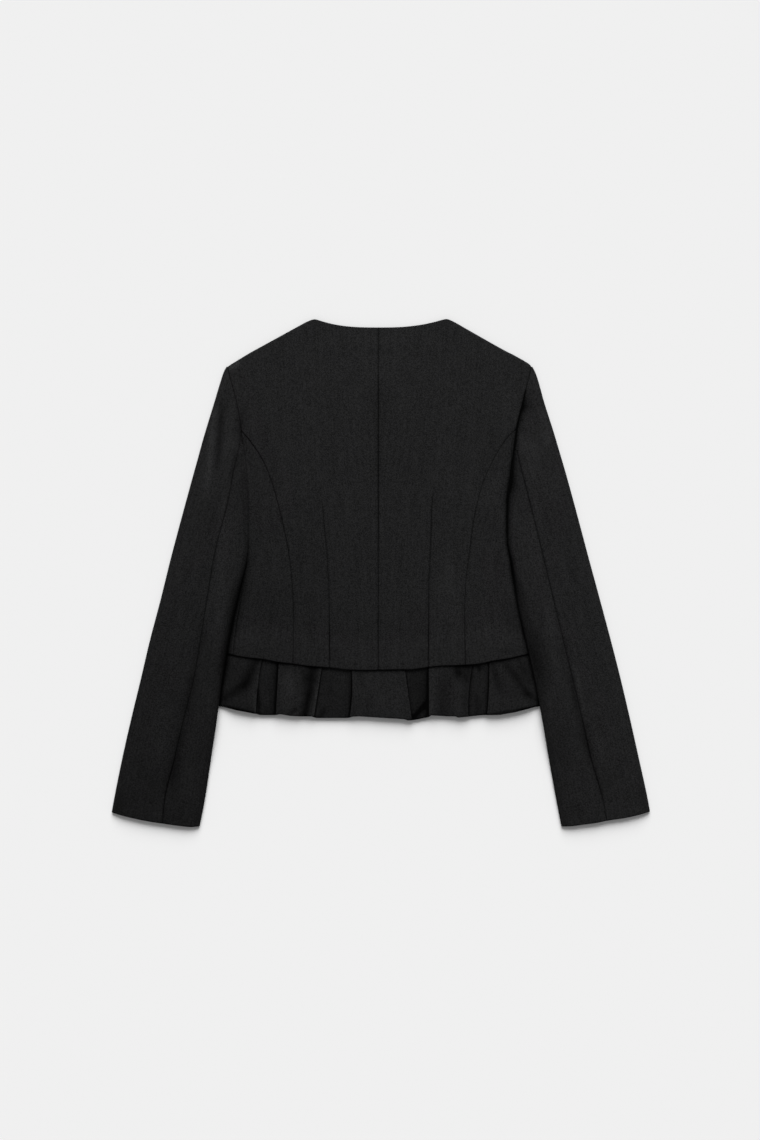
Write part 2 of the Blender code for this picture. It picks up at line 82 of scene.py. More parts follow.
# Cloth, and the space between layers
WALL = 1.6
PEPLUM_WALL = 0.8
ON_FRONT = 1.5 * WALL
SEAM_GAP = 0.12
ARMHOLE_LAP = 0.4
BODY_GAP = 2.4
SIDE_GAP = 1.2
CROWN = 1.2
FOLD_GAP, SLEEVE_FULL, FOLD_SOFT = 0.9, 4.2, 8.0
EDGE_LINES = np.array((0, 0.15, 0.4, 0.8, 1.3, 2.0, 3.0, 4.5))
EDGE_ROOM = 18.0
EDGE_THIN = 0.15
ROLL_ANGLES = np.radians(np.linspace(10, 85, 8))
ARMHOLE_FLAT = 4.5
SEAM_DEPTH, SEAM_SOFT = 0.7, 1.0
# Painted shade in a seam: how dark, and how fast it goes
DITCH_DARK, DITCH_WIDE = 0.9, 0.6
# Painted shade along a free edge: how dark, and how fast it goes
LIP_DARK, LIP_WIDE = 0.7, 0.8
# How far a crease reaches past its two ends, and over how much of its length it fades, as shares
CREASE_PAST, CREASE_FADE = 0.1, 0.4

# Body outline
CENTRE_OUT = {"left": 3.3, "right": -3.3}
FRONT_OUT = 0.2
NECK_Y, NECK_HALF = 320.1, 86.5
NECK_DEPTH = {"left": 11.7, "right": 12.2}
NECK_POWER = {"left": 3.0, "right": 2.5}
NECK_POINT_Y = 331.8
FRONT_NECK_DEPTH = 105.0
TIP_Y = 269.7
TIP_OUT = {"left": 199.5, "right": 195.8}
SHOULDER_ROLL, SHOULDER_RUN = 3.2, 12.0
HEM_Y, HEM_RISE, HEM_HALF = -125.0, 19.6, 193.0
SIDE_HEM_Y = -105.4
SIDE_LENGTH = TIP_Y - SHOULDER_ROLL - SIDE_HEM_Y
PRINCESS_TOP_Y = {"left": 184.6, "right": 188.2}
DART_TIP, DART_RUN = {"left": 95.0, "right": 107.0}, 12.0
NECK_ROUND = 2.4
# Just above a seam's top the edge of a piece jumps to its next line, between two close rows
JUMP, JUMP_ROWS = 0.2, (0.3, 0.1)

# Height of the back: pressed at the sides, crowned, drooping at the neck, risen over the pleats
PRESSED_IN, PRESSED_RUN = 70.0, 35.0
PRESSED_TOP_Y, PRESSED_TOP_RUN = 185.0, 45.0
CROWN_RUN, CROWN_TOP = 90.0, 440.0
NECK_DROOP, DROOP_Y, DROOP_RUN, DROOP_SIDE_RUN = 1.2, 290.0, 35.0, 40.0
WAIST_RISE, SIDE_RISE = 4.8, 0.1
RISE_IN, RISE_RUN = 2.0, 17.0
WAIST_RAMP, SIDE_RAMP = 60.0, 25.0
RAMP_IN, RAMP_RUN, RAMP_FOOT = 10.0, 50.0, 10.0

# Roll along the body's side, which goes flat beside the armhole
ROLL_TOP_Y, ROLL_TOP_RUN = 76.0, 14.0
ROLL_IN = 3.0
ROLL_ROOM, ROLL_LEAST = 9.0, 0.05

# Sleeves
LIFT = 5.2
LIFT_EDGE, LIFT_RAMP = 9.0, 34.0
LIFT_TOP_Y, LIFT_TOP_RUN = 183.0, 33.0
LIFT_LOW, LIFT_LOW_RUN = 265.0, 80.0
CAP_Y, CAP_RUN = 150.0, 35.0
FOLD_OUT, FOLD_LEAST, FOLD_SHARE = 2.0, 0.1, 0.55
FOLD_CLEAR, FOLD_CLEAR_RUN = 2.0, 8.0
SLEEVE_TOP_Y, SLEEVE_END_Y = 269.0, -310.0
CUFF_BEND_Y, CUFF_BEND_RUN = -60.0, 250.0
OUTER_EASE, OUTER_EASE_Y, OUTER_EASE_RUN = 0.65, 270.0, 12.0
UNDER_TOP_Y, UNDER_LAP = {"left": 168.0, "right": 160.0}, 0.35
FRONT_SEAM_LEAST, FRONT_SEAM_IN = 5.0, 25.0
FRONT_SEAM_Y, FRONT_SEAM_RUN = 170.0, 60.0

# Peplum
PEPLUM_LENGTH = 63.0
PEPLUM_TUCK = 7.0
FRONT_SIDE_TOP, FRONT_SIDE_HEM = 176.0, 220.0
FRONT_SHORTER = 2.0
PLEAT_RETURN = 9.0
OVER, BETWEEN, UNDER = 2, 1, 0
# Least share of its height that a crease presses the strip to, at a pleat and clear of one
LEAST_AT_PLEAT, LEAST_CLEAR, CLEAR_RUN = 0.72, 0.4, 8.0
# How far below the bodice edge the creases start
CREASE_BELOW, CREASE_RUN = 8.0, 20.0
# Painted shade behind a pleat's right fold, close and wide, and behind its left one, and width of a
# painted light edge
RIGHT_DARK, RIGHT_CLOSE, RIGHT_WIDE = 0.8, 2.2, 7.0
LEFT_DARK, EDGE_LIGHT_WIDE = 0.6, 3.0
# Below the bodice edge: its painted dark line, the cloth painted paler beside that, and where the creases'
# painted light starts
WAIST_DARK = 0.95
WAIST_PALE, WAIST_PALE_UNDER, WAIST_PALE_WIDE = 0.12, 0.7, 4.5
CREASE_LIGHT_ABOVE, CREASE_LIGHT_RUN = 2.0, 6.0

# Fineness of the cloth grids: rows, and the lines across each strip of a piece
ROW_STEP = 2.5
SLEEVE_ROW_STEP = 2.6
PEPLUM_ROWS = 34
CENTRE_BACK_LINES = (32, 38)
SIDE_BACK_LINES = (24, 4)
FRONT_LINES = (20, 24)
SLEEVE_UPPER_LINES = (24, 16)
SLEEVE_UNDER_LINES = (16, 6)
PEPLUM_FRONT_LINES = 40
PANEL_LINES, BEHIND_LINES, TURN_LINES = 26, 22, 13
RETURN_SHARES = (0.2, 0.4, 0.6, 0.8)
SETTLING_ROUNDS = 8


def table(columns, *rows):
    """A short table as arrays with names."""
    return dict(zip(columns.split(), np.array(rows, float).T))


# Crown of each shoulder line, by the share of its way from the neck point to the sleeve
SHOULDER_CROWN = table(
    "share left right",
    (0, 0, 0),
    (0.12, 1.8, 1.35),
    (0.62, 1.8, 1.35),
    (0.7, 1.8, 1.5),
    (0.8, 1.35, 2.1),
    (0.9, 0.5, 2.05),
    (0.96, 0.12, 1.6),
    (1.0, 0.0, 0.6),
)

# How far the bodice edge lies above its even curve, across the back
HEM_WAVE = table(
    "x up",
    (-188, -0.5),
    (-172, -0.1),
    (-150, 1.2),
    (-133, 0.4),
    (-117, 0.6),
    (-94, 0.1),
    (-63, 0.1),
    (-46, -1.1),
    (-20, -1.1),
    (0, -0.4),
    (25, -0.2),
    (39, -0.7),
    (50, 0.1),
    (62, 1.2),
    (77, 1.75),
    (93, 0.8),
    (109, -0.15),
    (124, -1.0),
    (134, -0.7),
    (148, 0.3),
    (165, 0.0),
    (180, 0.8),
)

# Edge of the body from the hem up the side to the underarm, then round the armhole to the shoulder
BODY_EDGE = table(
    "y left right",
    (-106, 204.0, 197.0),
    (-69, 199.5, 194.0),
    (-42, 194.0, 190.0),
    (-15, 188.0, 186.0),
    (15, 184.0, 184.0),
    (50, 186.0, 187.0),
    (88, 195.0, 195.5),
    (99, 187.0, 186.0),
    (113, 179.5, 177.0),
    (130, 177.0, 173.2),
    (150, 178.6, 174.4),
    (158, 178.7, 174.2),
    (172, 180.0, 175.2),
    (185, 181.4, 176.2),
    (209, 185.2, 180.9),
    (229, 189.3, 186.0),
    (250, 195.0, 191.5),
    (270, 199.5, 195.8),
)

# Curved seam between the centre back and the side back
PRINCESS = table(
    "y left right",
    (-120, 114.1, 110.0),
    (-56, 113.5, 108.8),
    (-17, 115.0, 110.1),
    (22, 119.1, 114.7),
    (61, 126.5, 119.6),
    (100, 136.2, 127.7),
    (126, 144.2, 136.3),
    (152, 156.2, 148.7),
    (165, 164.9, 156.4),
    (178, 174.6, 165.8),
    (188.5, 184.4, 176.6),
)

# Waist dart, carried on past its tip to the neck point as the line the cloth grid follows
DART = table(
    "y left right",
    (-126, 66.7, 62.0),
    (-61, 66.7, 62.0),
    (-15, 68.0, 62.4),
    (23, 70.0, 64.4),
    (88, 75.8, 66.4),
    (200, 82.0, 78.0),
    (332, 86.5, 86.5),
)

# Sleeve outline: fold along the body, back seam, outer fold
SLEEVE = table(
    "y inner_left inner_right seam_left seam_right outer_left outer_right",
    (-331, 236.2, 235.4, 284.2, 295.5, 353.0, 353.2),
    (-295, 229.1, 228.4, 281.2, 288.9, 346.7, 347.0),
    (-243, 221.1, 218.9, 268.8, 273.9, 336.3, 335.7),
    (-191, 213.1, 209.8, 256.5, 262.2, 324.6, 324.1),
    (-139, 206.2, 200.4, 243.5, 249.9, 312.0, 311.9),
    (-87, 197.5, 188.3, 234.4, 237.0, 299.8, 298.7),
    (-61, 192.5, 182.2, 230.2, 230.7, 293.0, 291.8),
    (-35, 186.8, 177.1, 225.9, 224.4, 286.1, 284.8),
    (-9, 180.4, 173.2, 221.7, 218.3, 279.7, 277.8),
    (17, 174.4, 169.4, 217.5, 212.1, 273.3, 270.7),
    (43, 172.0, 164.6, 211.6, 205.6, 266.5, 263.8),
    (95, 172.0, 164.6, 198.0, 192.6, 252.5, 249.9),
    (134, 174.2, 169.9, 191.0, 182.9, 241.8, 239.1),
    (153, 176.8, 172.3, 186.3, 178.4, 236.5, 233.5),
    (173, 179.4, 175.0, 182.5, 176.0, 231.0, 227.6),
    (185, 181.6, 176.5, 181.6, 176.5, 227.5, 224.0),
    (225, 188.7, 185.2, 188.7, 185.2, 215.3, 211.3),
    (251, 195.4, 191.9, 195.4, 191.9, 207.5, 204.1),
    (264, 198.9, 195.0, 198.9, 195.0, 203.2, 199.6),
    (270, 199.8, 196.1, 199.8, 196.1, 200.2, 196.6),
)

# How far out a sleeve is held up by the body or the peplum under it
LIFT_LINE = table(
    "y out",
    (-200, 224),
    (-168, 222),
    (-140, 214),
    (-106, 206),
    (-60, 198),
    (0, 192),
    (50, 193),
    (88, 198),
    (120, 192),
    (150, 184),
    (183, 180),
)

# Edge of the cuff across each sleeve
CUFF = table(
    "out left right",
    (233, -328.5, -329.2),
    (246, -329.7, -328.8),
    (262, -328.2, -326.7),
    (277, -326.1, -324.8),
    (297, -323.2, -321.0),
    (316, -319.6, -318.2),
    (335, -315.2, -314.1),
    (352, -310.3, -309.3),
)

# How deep a sleeve's back seam sinks and how much painted shade it has, and above it the armhole seam
SEAM_SHOW = table(
    "y left right",
    (-330, 0.9, 0.8),
    (-250, 0.9, 0.9),
    (-225, 0.35, 0.9),
    (-190, 0.3, 0.5),
    (-110, 0.3, 0.45),
    (-75, 0.35, 0.9),
    (-45, 0.8, 1.2),
    (100, 1.0, 1.4),
    (135, 0.7, 1.4),
    (160, 0.15, 0.8),
    (182, 0.35, 0.9),
    (200, 1.2, 1.0),
    (270, 1.2, 1.1),
)

# How much painted shade the seams and darts of the back have
BACK_SHOW = table(
    "y centre dart_left dart_right princess_left princess_right",
    (-120, 1.0, 1.0, 1.2, 0.6, 1.0),
    (-92, 1.0, 1.7, 1.7, 0.55, 0.9),
    (-62, 1.0, 1.2, 1.35, 0.65, 0.85),
    (-42, 0.8, 0.85, 1.2, 0.95, 0.8),
    (-15, 1.1, 0.85, 1.0, 0.8, 0.75),
    (20, 1.0, 0.85, 1.1, 0.9, 0.75),
    (60, 1.4, 1.1, 1.5, 1.1, 1.05),
    (110, 1.4, 1.0, 1.3, 1.15, 0.7),
    (138, 1.5, 1.0, 1.0, 1.05, 0.7),
    (155, 1.4, 1.0, 1.0, 1.8, 0.85),
    (178, 1.35, 1.0, 1.0, 2.2, 1.5),
    (185, 1.35, 1.0, 1.0, 1.9, 1.4),
    (191, 1.4, 1.0, 1.0, 0.8, 1.0),
    (215, 1.5, 1.0, 1.0, 1.2, 1.0),
    (250, 1.3, 1.0, 1.0, 1.0, 1.0),
    (275, 0.95, 1.0, 1.0, 1.0, 1.0),
    (320, 1.0, 1.0, 1.0, 1.0, 1.0),
)

# Inverted pleats of the back peplum: the two folds that face each other, at waist and hem, how far each
# bows between, the painted shade behind them, all over and beside the right one, how wide the painted dark
# line beside the left one is, and the painted highlight on that fold's edge
BACK_PLEATS = table(
    "left_top left_hem left_bow right_top right_hem right_bow dark right_soft left_wide edge_light",
    (-154.5, -162.3, -1.5, -132.7, -136.5, 0.0, 0.06, 0.38, 0.9, 0.35),
    (-76.5, -87.0, 0.0, -38.0, -40.5, 2.0, 0.09, 0.18, 0.9, 0.55),
    (31.5, 40.5, 0.0, 62.2, 62.6, 0.0, 0.30, 0.28, 0.9, 0.05),
    (119.5, 113.8, -2.0, 141.0, 138.0, 1.0, 0.12, 0.10, 1.5, 0.0),
)

# Hem of the peplum, with its small steps at the pleats
PEPLUM_HEM = table(
    "x y",
    (-222, -171.8),
    (-207, -173.1),
    (-187, -177.9),
    (-160, -183.0),
    (-157, -184.1),
    (-137, -184.2),
    (-131, -182.8),
    (-117, -185.1),
    (-104, -185.9),
    (-90, -185.8),
    (-84, -187.9),
    (-42, -187.9),
    (-37, -186.1),
    (-28, -185.7),
    (-8, -187.0),
    (31, -189.4),
    (35, -191.1),
    (43, -190.6),
    (62, -186.9),
    (65.5, -184.2),
    (86, -185.7),
    (98, -185.8),
    (100, -187.4),
    (113, -186.1),
    (132, -184.1),
    (154, -183.9),
    (175, -180.3),
    (187, -177.2),
    (199, -173.8),
    (222, -170.8),
)

# Height of the front strip, of the back's lowest layer, its step from layer to layer and its two
# ends, and how far in from the ends the back comes up, by distance below the bodice edge
PEPLUM_LAYERS = table(
    "below front back_base back_step end_height left_end right_end side_start side_run",
    (-7, 2.4, 4.5, 0.90, 2.45, 199.0, 190.0, 0.0, 20.0),
    (0, 2.4, 4.5, 0.90, 2.45, 203.5, 196.0, 0.0, 20.0),
    (8, 0.5, 4.4, 0.95, 1.80, 206.5, 199.5, 1.0, 20.0),
    (20, 0.5, 4.4, 1.00, 1.80, 209.0, 203.0, 4.0, 22.0),
    (34, 0.5, 4.6, 1.05, 2.20, 212.0, 208.0, 6.0, 24.0),
    (48, 0.5, 4.8, 1.10, 2.80, 216.0, 214.0, 7.0, 25.0),
    (63, 0.5, 5.1, 1.15, 3.60, 220.0, 220.0, 8.0, 26.0),
)

# How wide the painted shade line is that the bodice edge casts on the peplum
LIP_SHADE = table(
    "x wide",
    (-200, 0.8),
    (-175, 0.8),
    (-150, 2.2),
    (-132, 2.3),
    (-114, 1.0),
    (-104, 1.0),
    (-94, 2.0),
    (-73, 1.6),
    (-50, 0.6),
    (-25, 0.5),
    (0, 0.9),
    (35, 1.1),
    (55, 0.7),
    (80, 0.6),
    (94, 1.5),
    (112, 2.5),
    (135, 1.8),
    (155, 1.5),
    (170, 0.7),
    (187, 1.3),
)

# Soft creases: a line from one point to another, how wide it is to each side, its height, which is below
# zero for a trough, and its painted light, a painted highlight above zero and painted shade below
BODY_CREASES = table(
    "x0 y0 x1 y1 wide high light",
    (-150, 235, -120, 120, 14, 0.30, 0.02),
    (-178, 240, -150, 150, 12, -0.35, -0.02),
    (-148, 290, -128, 276, 14, -0.20, -0.07),
    (-100, 60, -92, -60, 12, -0.30, -0.04),
    (-40, 230, -34, 60, 16, 0.25, 0.02),
    (30, 200, 36, 40, 18, -0.25, -0.02),
    (98, 240, 108, 120, 15, 0.30, -0.03),
    (160, 244, 163, 205, 9, 0.30, 0.12),
    (146, 130, 145, 90, 8, 0.30, 0.10),
    (88, 30, 90, -90, 14, 0.25, 0.14),
    (-150, 0, -146, -80, 24, 0.30, -0.09),
    (148, 30, 152, -60, 12, -0.25, -0.04),
    (-177, 218, -181, 186, 4, -0.30, -0.28),
    (-200, 265, -180, 276, 3.5, 0.00, 0.80),
    (-3, 262, -3, 90, 5, -0.20, -0.08),
    (154, -103, 178, -98, 3, 0.00, -0.18),
    (-140, -114, 150, -114, 9, 0.00, 0.07),
    (164, -30, 178, -104, 12, 0.00, -0.16),
)
SLEEVE_CREASES = table(
    "x0 y0 x1 y1 wide high light",
    (-214, 228, -227, 100, 5, 0.80, 0.52),
    (-207, 230, -212, 132, 5, -0.80, -0.40),
    (-195, 222, -202, 122, 5, 0.50, 0.12),
    (-179, 210, -186, 158, 4, -0.60, -0.30),
    (-186, 166, -196, 116, 4, -0.40, -0.22),
    (-229, -58, -240, -128, 6, -0.70, -0.20),
    (-240, -118, -258, -200, 7, -0.90, -0.28),
    (-256, -190, -276, -290, 7, -0.90, -0.28),
    (-262, -70, -278, -130, 9, 0.40, 0.06),
    (-282, -172, -293, -254, 9, 0.60, 0.12),
    (-222, -150, -240, -230, 7, 0.30, 0.05),
    (-252, 40, -272, -60, 10, 0.30, 0.04),
    (210, 214, 219, 156, 6, 0.60, 0.30),
    (194, 172, 199, 118, 6, 0.50, 0.18),
    (232, 110, 256, -40, 9, -0.30, -0.05),
    (236, -76, 247, -134, 6, -0.60, -0.18),
    (244, -122, 260, -194, 6, -1.00, -0.34),
    (259, -182, 275, -254, 6, -1.00, -0.38),
    (251, -116, 267, -198, 3, 0.50, 0.26),
    (275, -244, 290, -298, 4, -0.50, -0.22),
    (196, -60, 216, -166, 10, -0.60, -0.20),
    (214, -42, 226, -108, 8, 0.40, 0.08),
    (286, -208, 290, -250, 8, 0.50, 0.10),
    (246, -320, 264, -300, 9, -0.30, -0.12),
    (-348, -286, -338, -316, 10, 0.00, -0.16),
    (342, -268, 350, -312, 9, 0.00, -0.16),
    (-297, -311.5, -280, -313.5, 1.6, 0.00, 0.16),
    (-203, 90, -214, -120, 9, 0.00, 0.18),
    (-240, -200, -252, -310, 10, 0.00, 0.08),
    (195, 90, 205, -10, 9, 0.00, 0.10),
    (232, -170, 248, -310, 10, 0.00, -0.06),
)
PEPLUM_CREASES = table(
    "x0 y0 x1 y1 wide high light",
    (-190, -104, -184, -170, 26, 0.0, -0.06),
    (178, -104, 182, -170, 24, 0.0, -0.18),
    (0, -106, 0, -192, 30, 0.0, 0.12),
    (-155, -98, -179, -152, 7.2, -1.6, -0.44),
    (-168, -140, -214, -170, 7, -1.2, -0.36),
    (-206, -172, -160, -179, 8, 0.0, -0.14),
    (-212, -171.5, -152, -184.5, 2.2, 0.0, -0.7),
    (-159.5, -146, -158.5, -184, 2.3, -0.3, -0.42),
    (-154, -170, -143, -190, 4, -0.4, -0.14),
    (-83, -100, -94, -160, 8.5, -2.4, -0.54),
    (-104, -122, -96, -142, 5, -0.4, -0.22),
    (-91.5, -148, -101.5, -200, 6, -2.0, -0.62),
    (-118, -122, -121, -188, 11, 1.0, 0.26),
    (-121, -185, -107, -174, 3, -0.8, -0.38),
    (-82, -192, -70, -172, 4, -0.4, -0.32),
    (146, -114, 184, -107, 3, 0.00, -0.38),
    (-68, -124, -66, -164, 7, -0.4, -0.12),
    (-14, -160, -15, -194, 6, -0.5, -0.08),
    (36, -194, 64, -164, 3.5, -0.6, -0.52),
    (93, -104, 103, -138, 6.5, -1.0, -0.44),
    (92, -128, 122, -134, 8, -0.4, -0.22),
    (82, -128, 81, -206, 9, -1.0, -0.26),
    (101, -150, 100, -190, 5, 0.6, 0.06),
    (67.5, -112, 67, -204, 5, 0.6, 0.20),
    (103, -119, 121, -124, 3, 0.0, -0.40),
    (113, -114, 111, -196, 7, 0.0, -0.16),
    (122, -116, 131, -127, 2.8, -0.4, -0.65),
    (126, -156, 126, -192, 4, -0.4, -0.26),
    (143, -106, 157, -162, 4, -0.6, -0.34),
    (150, -110, 176, -156, 5, 0.4, 0.08),
    (150, -104, 200, -166, 4.8, -0.8, -0.34),
    (176, -102, 194, -146, 3.5, -0.4, -0.22),
    (182, -152, 214, -174, 5.5, -1.0, -0.36),
    (154, -158, 178, -178, 10, 0.6, 0.04),
    (128, -185.5, 205, -172.5, 1.8, 0.0, -0.55),
    (172, -181, 216, -169.5, 2.4, 0.0, -0.5),
)

# Painted shade along each sleeve's inner fold, lighter where below zero: right beside it, further off on
# the sleeve and how far that reaches, and the same on what lies under the sleeve
CREVICE = {
    "left": table(
        "y core soft reach under under_reach",
        (-210, 0.00, 0.05, 6, 0.00, 3),
        (-185, 0.15, 0.15, 5, 0.20, 3),
        (-172, 0.30, 0.25, 4, 0.40, 3),
        (-152, 0.35, 0.30, 4.5, 0.45, 4),
        (-113, 0.20, 0.55, 8, 0.55, 6),
        (-74, 0.25, 0.58, 8, 0.55, 7.5),
        (-35, 0.25, 0.58, 8.5, 0.58, 8.5),
        (4, 0.35, 0.45, 5, 0.40, 7),
        (35, 0.05, 0.28, 5, 0.10, 10),
        (65, -0.15, 0.22, 9, 0.03, 4),
        (95, -0.15, 0.25, 11, 0.00, 4),
        (114, -0.15, 0.24, 11, 0.00, 4),
        (134, -0.20, 0.20, 9, 0.00, 4),
        (150, -0.10, 0.18, 8, 0.05, 4),
        (162, 0.15, 0.20, 5, 0.08, 4),
        (176, 0.26, 0.22, 4, 0.10, 4),
        (190, 0.10, 0.16, 4, 0.08, 4),
        (212, 0.00, 0.06, 5, 0.05, 5),
        (248, 0.00, 0.00, 4, 0.00, 4),
    ),
    "right": table(
        "y core soft reach under under_reach",
        (-210, 0.00, 0.15, 12, 0.00, 2.5),
        (-185, 0.15, 0.22, 11, 0.15, 2.5),
        (-172, 0.25, 0.28, 9, 0.25, 2.5),
        (-152, 0.28, 0.30, 9, 0.25, 2.5),
        (-113, 0.10, 0.50, 14, 0.42, 5.5),
        (-74, 0.60, 0.40, 14, 0.28, 3),
        (-35, 0.50, 0.46, 13, 0.25, 2),
        (4, 0.60, 0.66, 4.2, 0.60, 4),
        (35, 0.75, 0.40, 5, 0.30, 2),
        (65, 0.80, 0.40, 4.5, 0.45, 2.8),
        (95, 0.65, 0.66, 6.5, 0.50, 3),
        (114, 0.45, 0.92, 9.5, 0.50, 3.8),
        (134, 0.60, 0.80, 6.5, 0.60, 3.8),
        (150, 0.75, 0.60, 5.5, 0.45, 2.6),
        (175, 0.75, 0.60, 4.2, 0.55, 2.6),
        (192, 0.75, 0.50, 5.5, 0.40, 2.4),
        (206, 0.55, 0.60, 6.5, 0.30, 1.6),
        (216, 0.40, 0.92, 9.5, 0.25, 1.5),
        (226, 0.55, 0.62, 7, 0.25, 1.4),
        (235, 0.75, 0.30, 2.5, 0.25, 1.2),
        (244, 0.10, 0.00, 3, 0.00, 2),
        (252, 0.00, 0.00, 3, 0.00, 2),
    ),
}
CREVICE_CORE = 1.5

# Side seam, by its share of the way from the curved seam to the side, from where down it shows, how much
# painted shade it has and how deep it is beside the other seams, and the painted highlight of the ridge
# beside it
SIDE_SEAM_SHARE = {"left": 0.89, "right": 0.97}
SIDE_SEAM_Y, SIDE_SEAM_RUN = -30.0, 25.0
SIDE_SEAM_DARK, SIDE_SEAM_DEPTH = 0.55, 0.5
RIDGE_OUT, RIDGE_WIDE, RIDGE_LIGHT = 1.6, 0.8, 0.22

# Painted shade for light lost from the shoulder down to the cuffs, more of it on the left
FADE_TOP_Y, FADE_LENGTH, FADE_HALF = 270.0, 590.0, 200.0
FADE, FADE_LEFT = 0.30, 0.13


def ease(t):
    """Soft change from 0 to 1."""
    t = np.clip(t, 0, 1)
    return t * t * (3 - 2 * t)


def mix(a, b, t):
    return a + (b - a) * t


def smooth(at, known, values):
    """Curve through table rows that never overshoots them, level beyond its end rows."""
    step = np.diff(known)
    slope = np.diff(values) / step
    before, after = slope[:-1], slope[1:]
    same_way = before * after > 0
    bend = np.where(same_way, 2 * before * after / np.where(same_way, before + after, 1), 0)
    tangent = np.concatenate([slope[:1], bend, slope[-1:]])
    at = np.clip(at, known[0], known[-1])
    i = np.clip(np.searchsorted(known, at) - 1, 0, len(step) - 1)
    t = (at - known[i]) / step[i]
    start = (1 + 2 * t) * (1 - t) ** 2 * values[i] + t * (1 - t) ** 2 * step[i] * tangent[i]
    end = t * t * (3 - 2 * t) * values[i + 1] + t * t * (t - 1) * step[i] * tangent[i + 1]
    return start + end


def read(rows, at, name):
    """One column of a table as a smooth curve over the table's first column."""
    known = next(iter(rows.values()))
    return smooth(at, known, rows[name])


def body_edge(y, side):
    return read(BODY_EDGE, y, side)


def princess(y, side):
    return read(PRINCESS, y, side)


def dart(y, side):
    return read(DART, y, side)


def sewn_dart(y, side):
    """1 where the dart is sewn, running out to 0 at its tip."""
    return ease((DART_TIP[side] - y) / DART_RUN)


def sleeve(y, line, side):
    return read(SLEEVE, y, line + "_" + side)


def hem(x):
    """Bodice edge across the back, a curve with small waves."""
    return HEM_Y + HEM_RISE * (x / HEM_HALF) ** 2 + read(HEM_WAVE, x, "up")


def shoulder(out, side):
    """Shoulder line from the neck point to the sleeve, a little crowned."""
    share = (out - NECK_HALF) / (TIP_OUT[side] - NECK_HALF)
    return mix(NECK_POINT_Y, TIP_Y, share) + read(SHOULDER_CROWN, share, side)


def top_edge(neck, along):
    """Neckline and shoulder line as one edge, round at the neck point."""
    return (neck + along - np.hypot(neck - along, NECK_ROUND)) / 2


def back_top(out, side):
    neck = NECK_Y + NECK_DEPTH[side] * np.abs(out / NECK_HALF) ** NECK_POWER[side]
    return top_edge(neck, shoulder(out, side))


def front_top(out, side):
    neck = NECK_POINT_Y - FRONT_NECK_DEPTH * (1 - (out / NECK_HALF) ** 2)
    return top_edge(neck, shoulder(out, side))


def back_height(out, y, side):
    """Middle of the back cloth: pressed down at the sides, raised over the pleats at the waist."""
    edge = body_edge(y, side)
    above_hem = y - hem(SIDES[side] * out)
    pressed = ease((out - edge + PRESSED_IN) / PRESSED_RUN) * ease((PRESSED_TOP_Y - y) / PRESSED_TOP_RUN)
    height = ON_FRONT + mix(BODY_GAP, SIDE_GAP, pressed)
    height = height + CROWN * ease((edge - out) / CROWN_RUN) * ease((CROWN_TOP - above_hem) / CROWN_RUN)
    droop = NECK_DROOP * ease((y - DROOP_Y) / DROOP_RUN) * ease((NECK_HALF - out) / DROOP_SIDE_RUN)
    height = height - droop
    ramp = mix(SIDE_RAMP, WAIST_RAMP, ease((edge - RAMP_IN - out) / RAMP_RUN))
    over_pleats = ease((RAMP_FOOT + ramp - above_hem) / ramp)
    rise = WAIST_RISE * over_pleats * mix(SIDE_RISE, 1, ease((edge - RISE_IN - out) / RISE_RUN))
    return np.maximum(height, ON_FRONT + SIDE_GAP + rise)


def creases(x, y, lines):
    """Height and painted light of all the soft creases at these points, each one fading towards its ends.
    """
    total = np.zeros((2,) + x.shape)
    for x0, y0, x1, y1, wide, high, light in zip(*lines.values()):
        length = math.hypot(x1 - x0, y1 - y0)
        along = ((x - x0) * (x1 - x0) + (y - y0) * (y1 - y0)) / length ** 2
        off = ((x - x0) * (y1 - y0) - (y - y0) * (x1 - x0)) / length
        ends = ease((along + CREASE_PAST) / CREASE_FADE) * ease((1 + CREASE_PAST - along) / CREASE_FADE)
        form = ends * np.exp(-((off / wide) ** 2))
        total += np.stack([high * form, light * form])
    return total


def crevice(out, y, side, on_sleeve):
    """How much painted shade the cloth has beside a sleeve's inner fold, on the sleeve or on what lies
    under it.
    """
    away = np.maximum((out - sleeve(y, "inner", side)) * (1 if on_sleeve else -1), 0)
    names = ("core", "soft", "reach") if on_sleeve else ("core", "under", "under_reach")
    core, soft, reach = (read(CREVICE[side], y, name) for name in names)
    return core * np.exp(-away / CREVICE_CORE) + soft * np.exp(-((away / reach) ** 2))


def painted_falloff(x, y):
    """Painted shade for light lost from the shoulder down."""
    tilt = FADE - FADE_LEFT * np.clip(x / FADE_HALF, -1, 1)
    return tilt * np.clip((FADE_TOP_Y - y) / FADE_LENGTH, 0, 1)


def lip(away):
    """How much painted shade a free edge has, by the distance from it."""
    return LIP_DARK * np.exp(-away / LIP_WIDE)


def ditch(away):
    """How much painted shade a seam has, by the distance from it."""
    return DITCH_DARK * np.exp(-np.abs(away) / DITCH_WIDE)


def seam_dip(away):
    """How far cloth sinks beside a seam, by the distance from it."""
    return SEAM_DEPTH * np.exp(-np.abs(away) / SEAM_SOFT)


def back_shade(out, y, side):
    """Painted shade that the back gets at the bodice edge, under a sleeve, down its length and in creases.
    """
    x = SIDES[side] * out
    edge = lip(np.maximum(y - hem(x), 0))
    return edge + crevice(out, y, side, False) + painted_falloff(x, y) - creases(x, y, BODY_CREASES)[1]


def sleeve_shade(out, y, side):
    """Painted shade along a sleeve's inner fold and down its length."""
    return crevice(out, y, side, True) + painted_falloff(SIDES[side] * out, y)


def lines_across(count):
    """Grid lines across a strip, each a distance and a share of its width, close beside both edges."""
    run = np.linspace(0, 1, count)
    near = EDGE_LINES[:-1]
    distance = np.concatenate([near, EDGE_LINES[-1] * (1 - 2 * run), -near[::-1]])
    share = np.concatenate([near * 0, run, near * 0 + 1])
    return distance, share


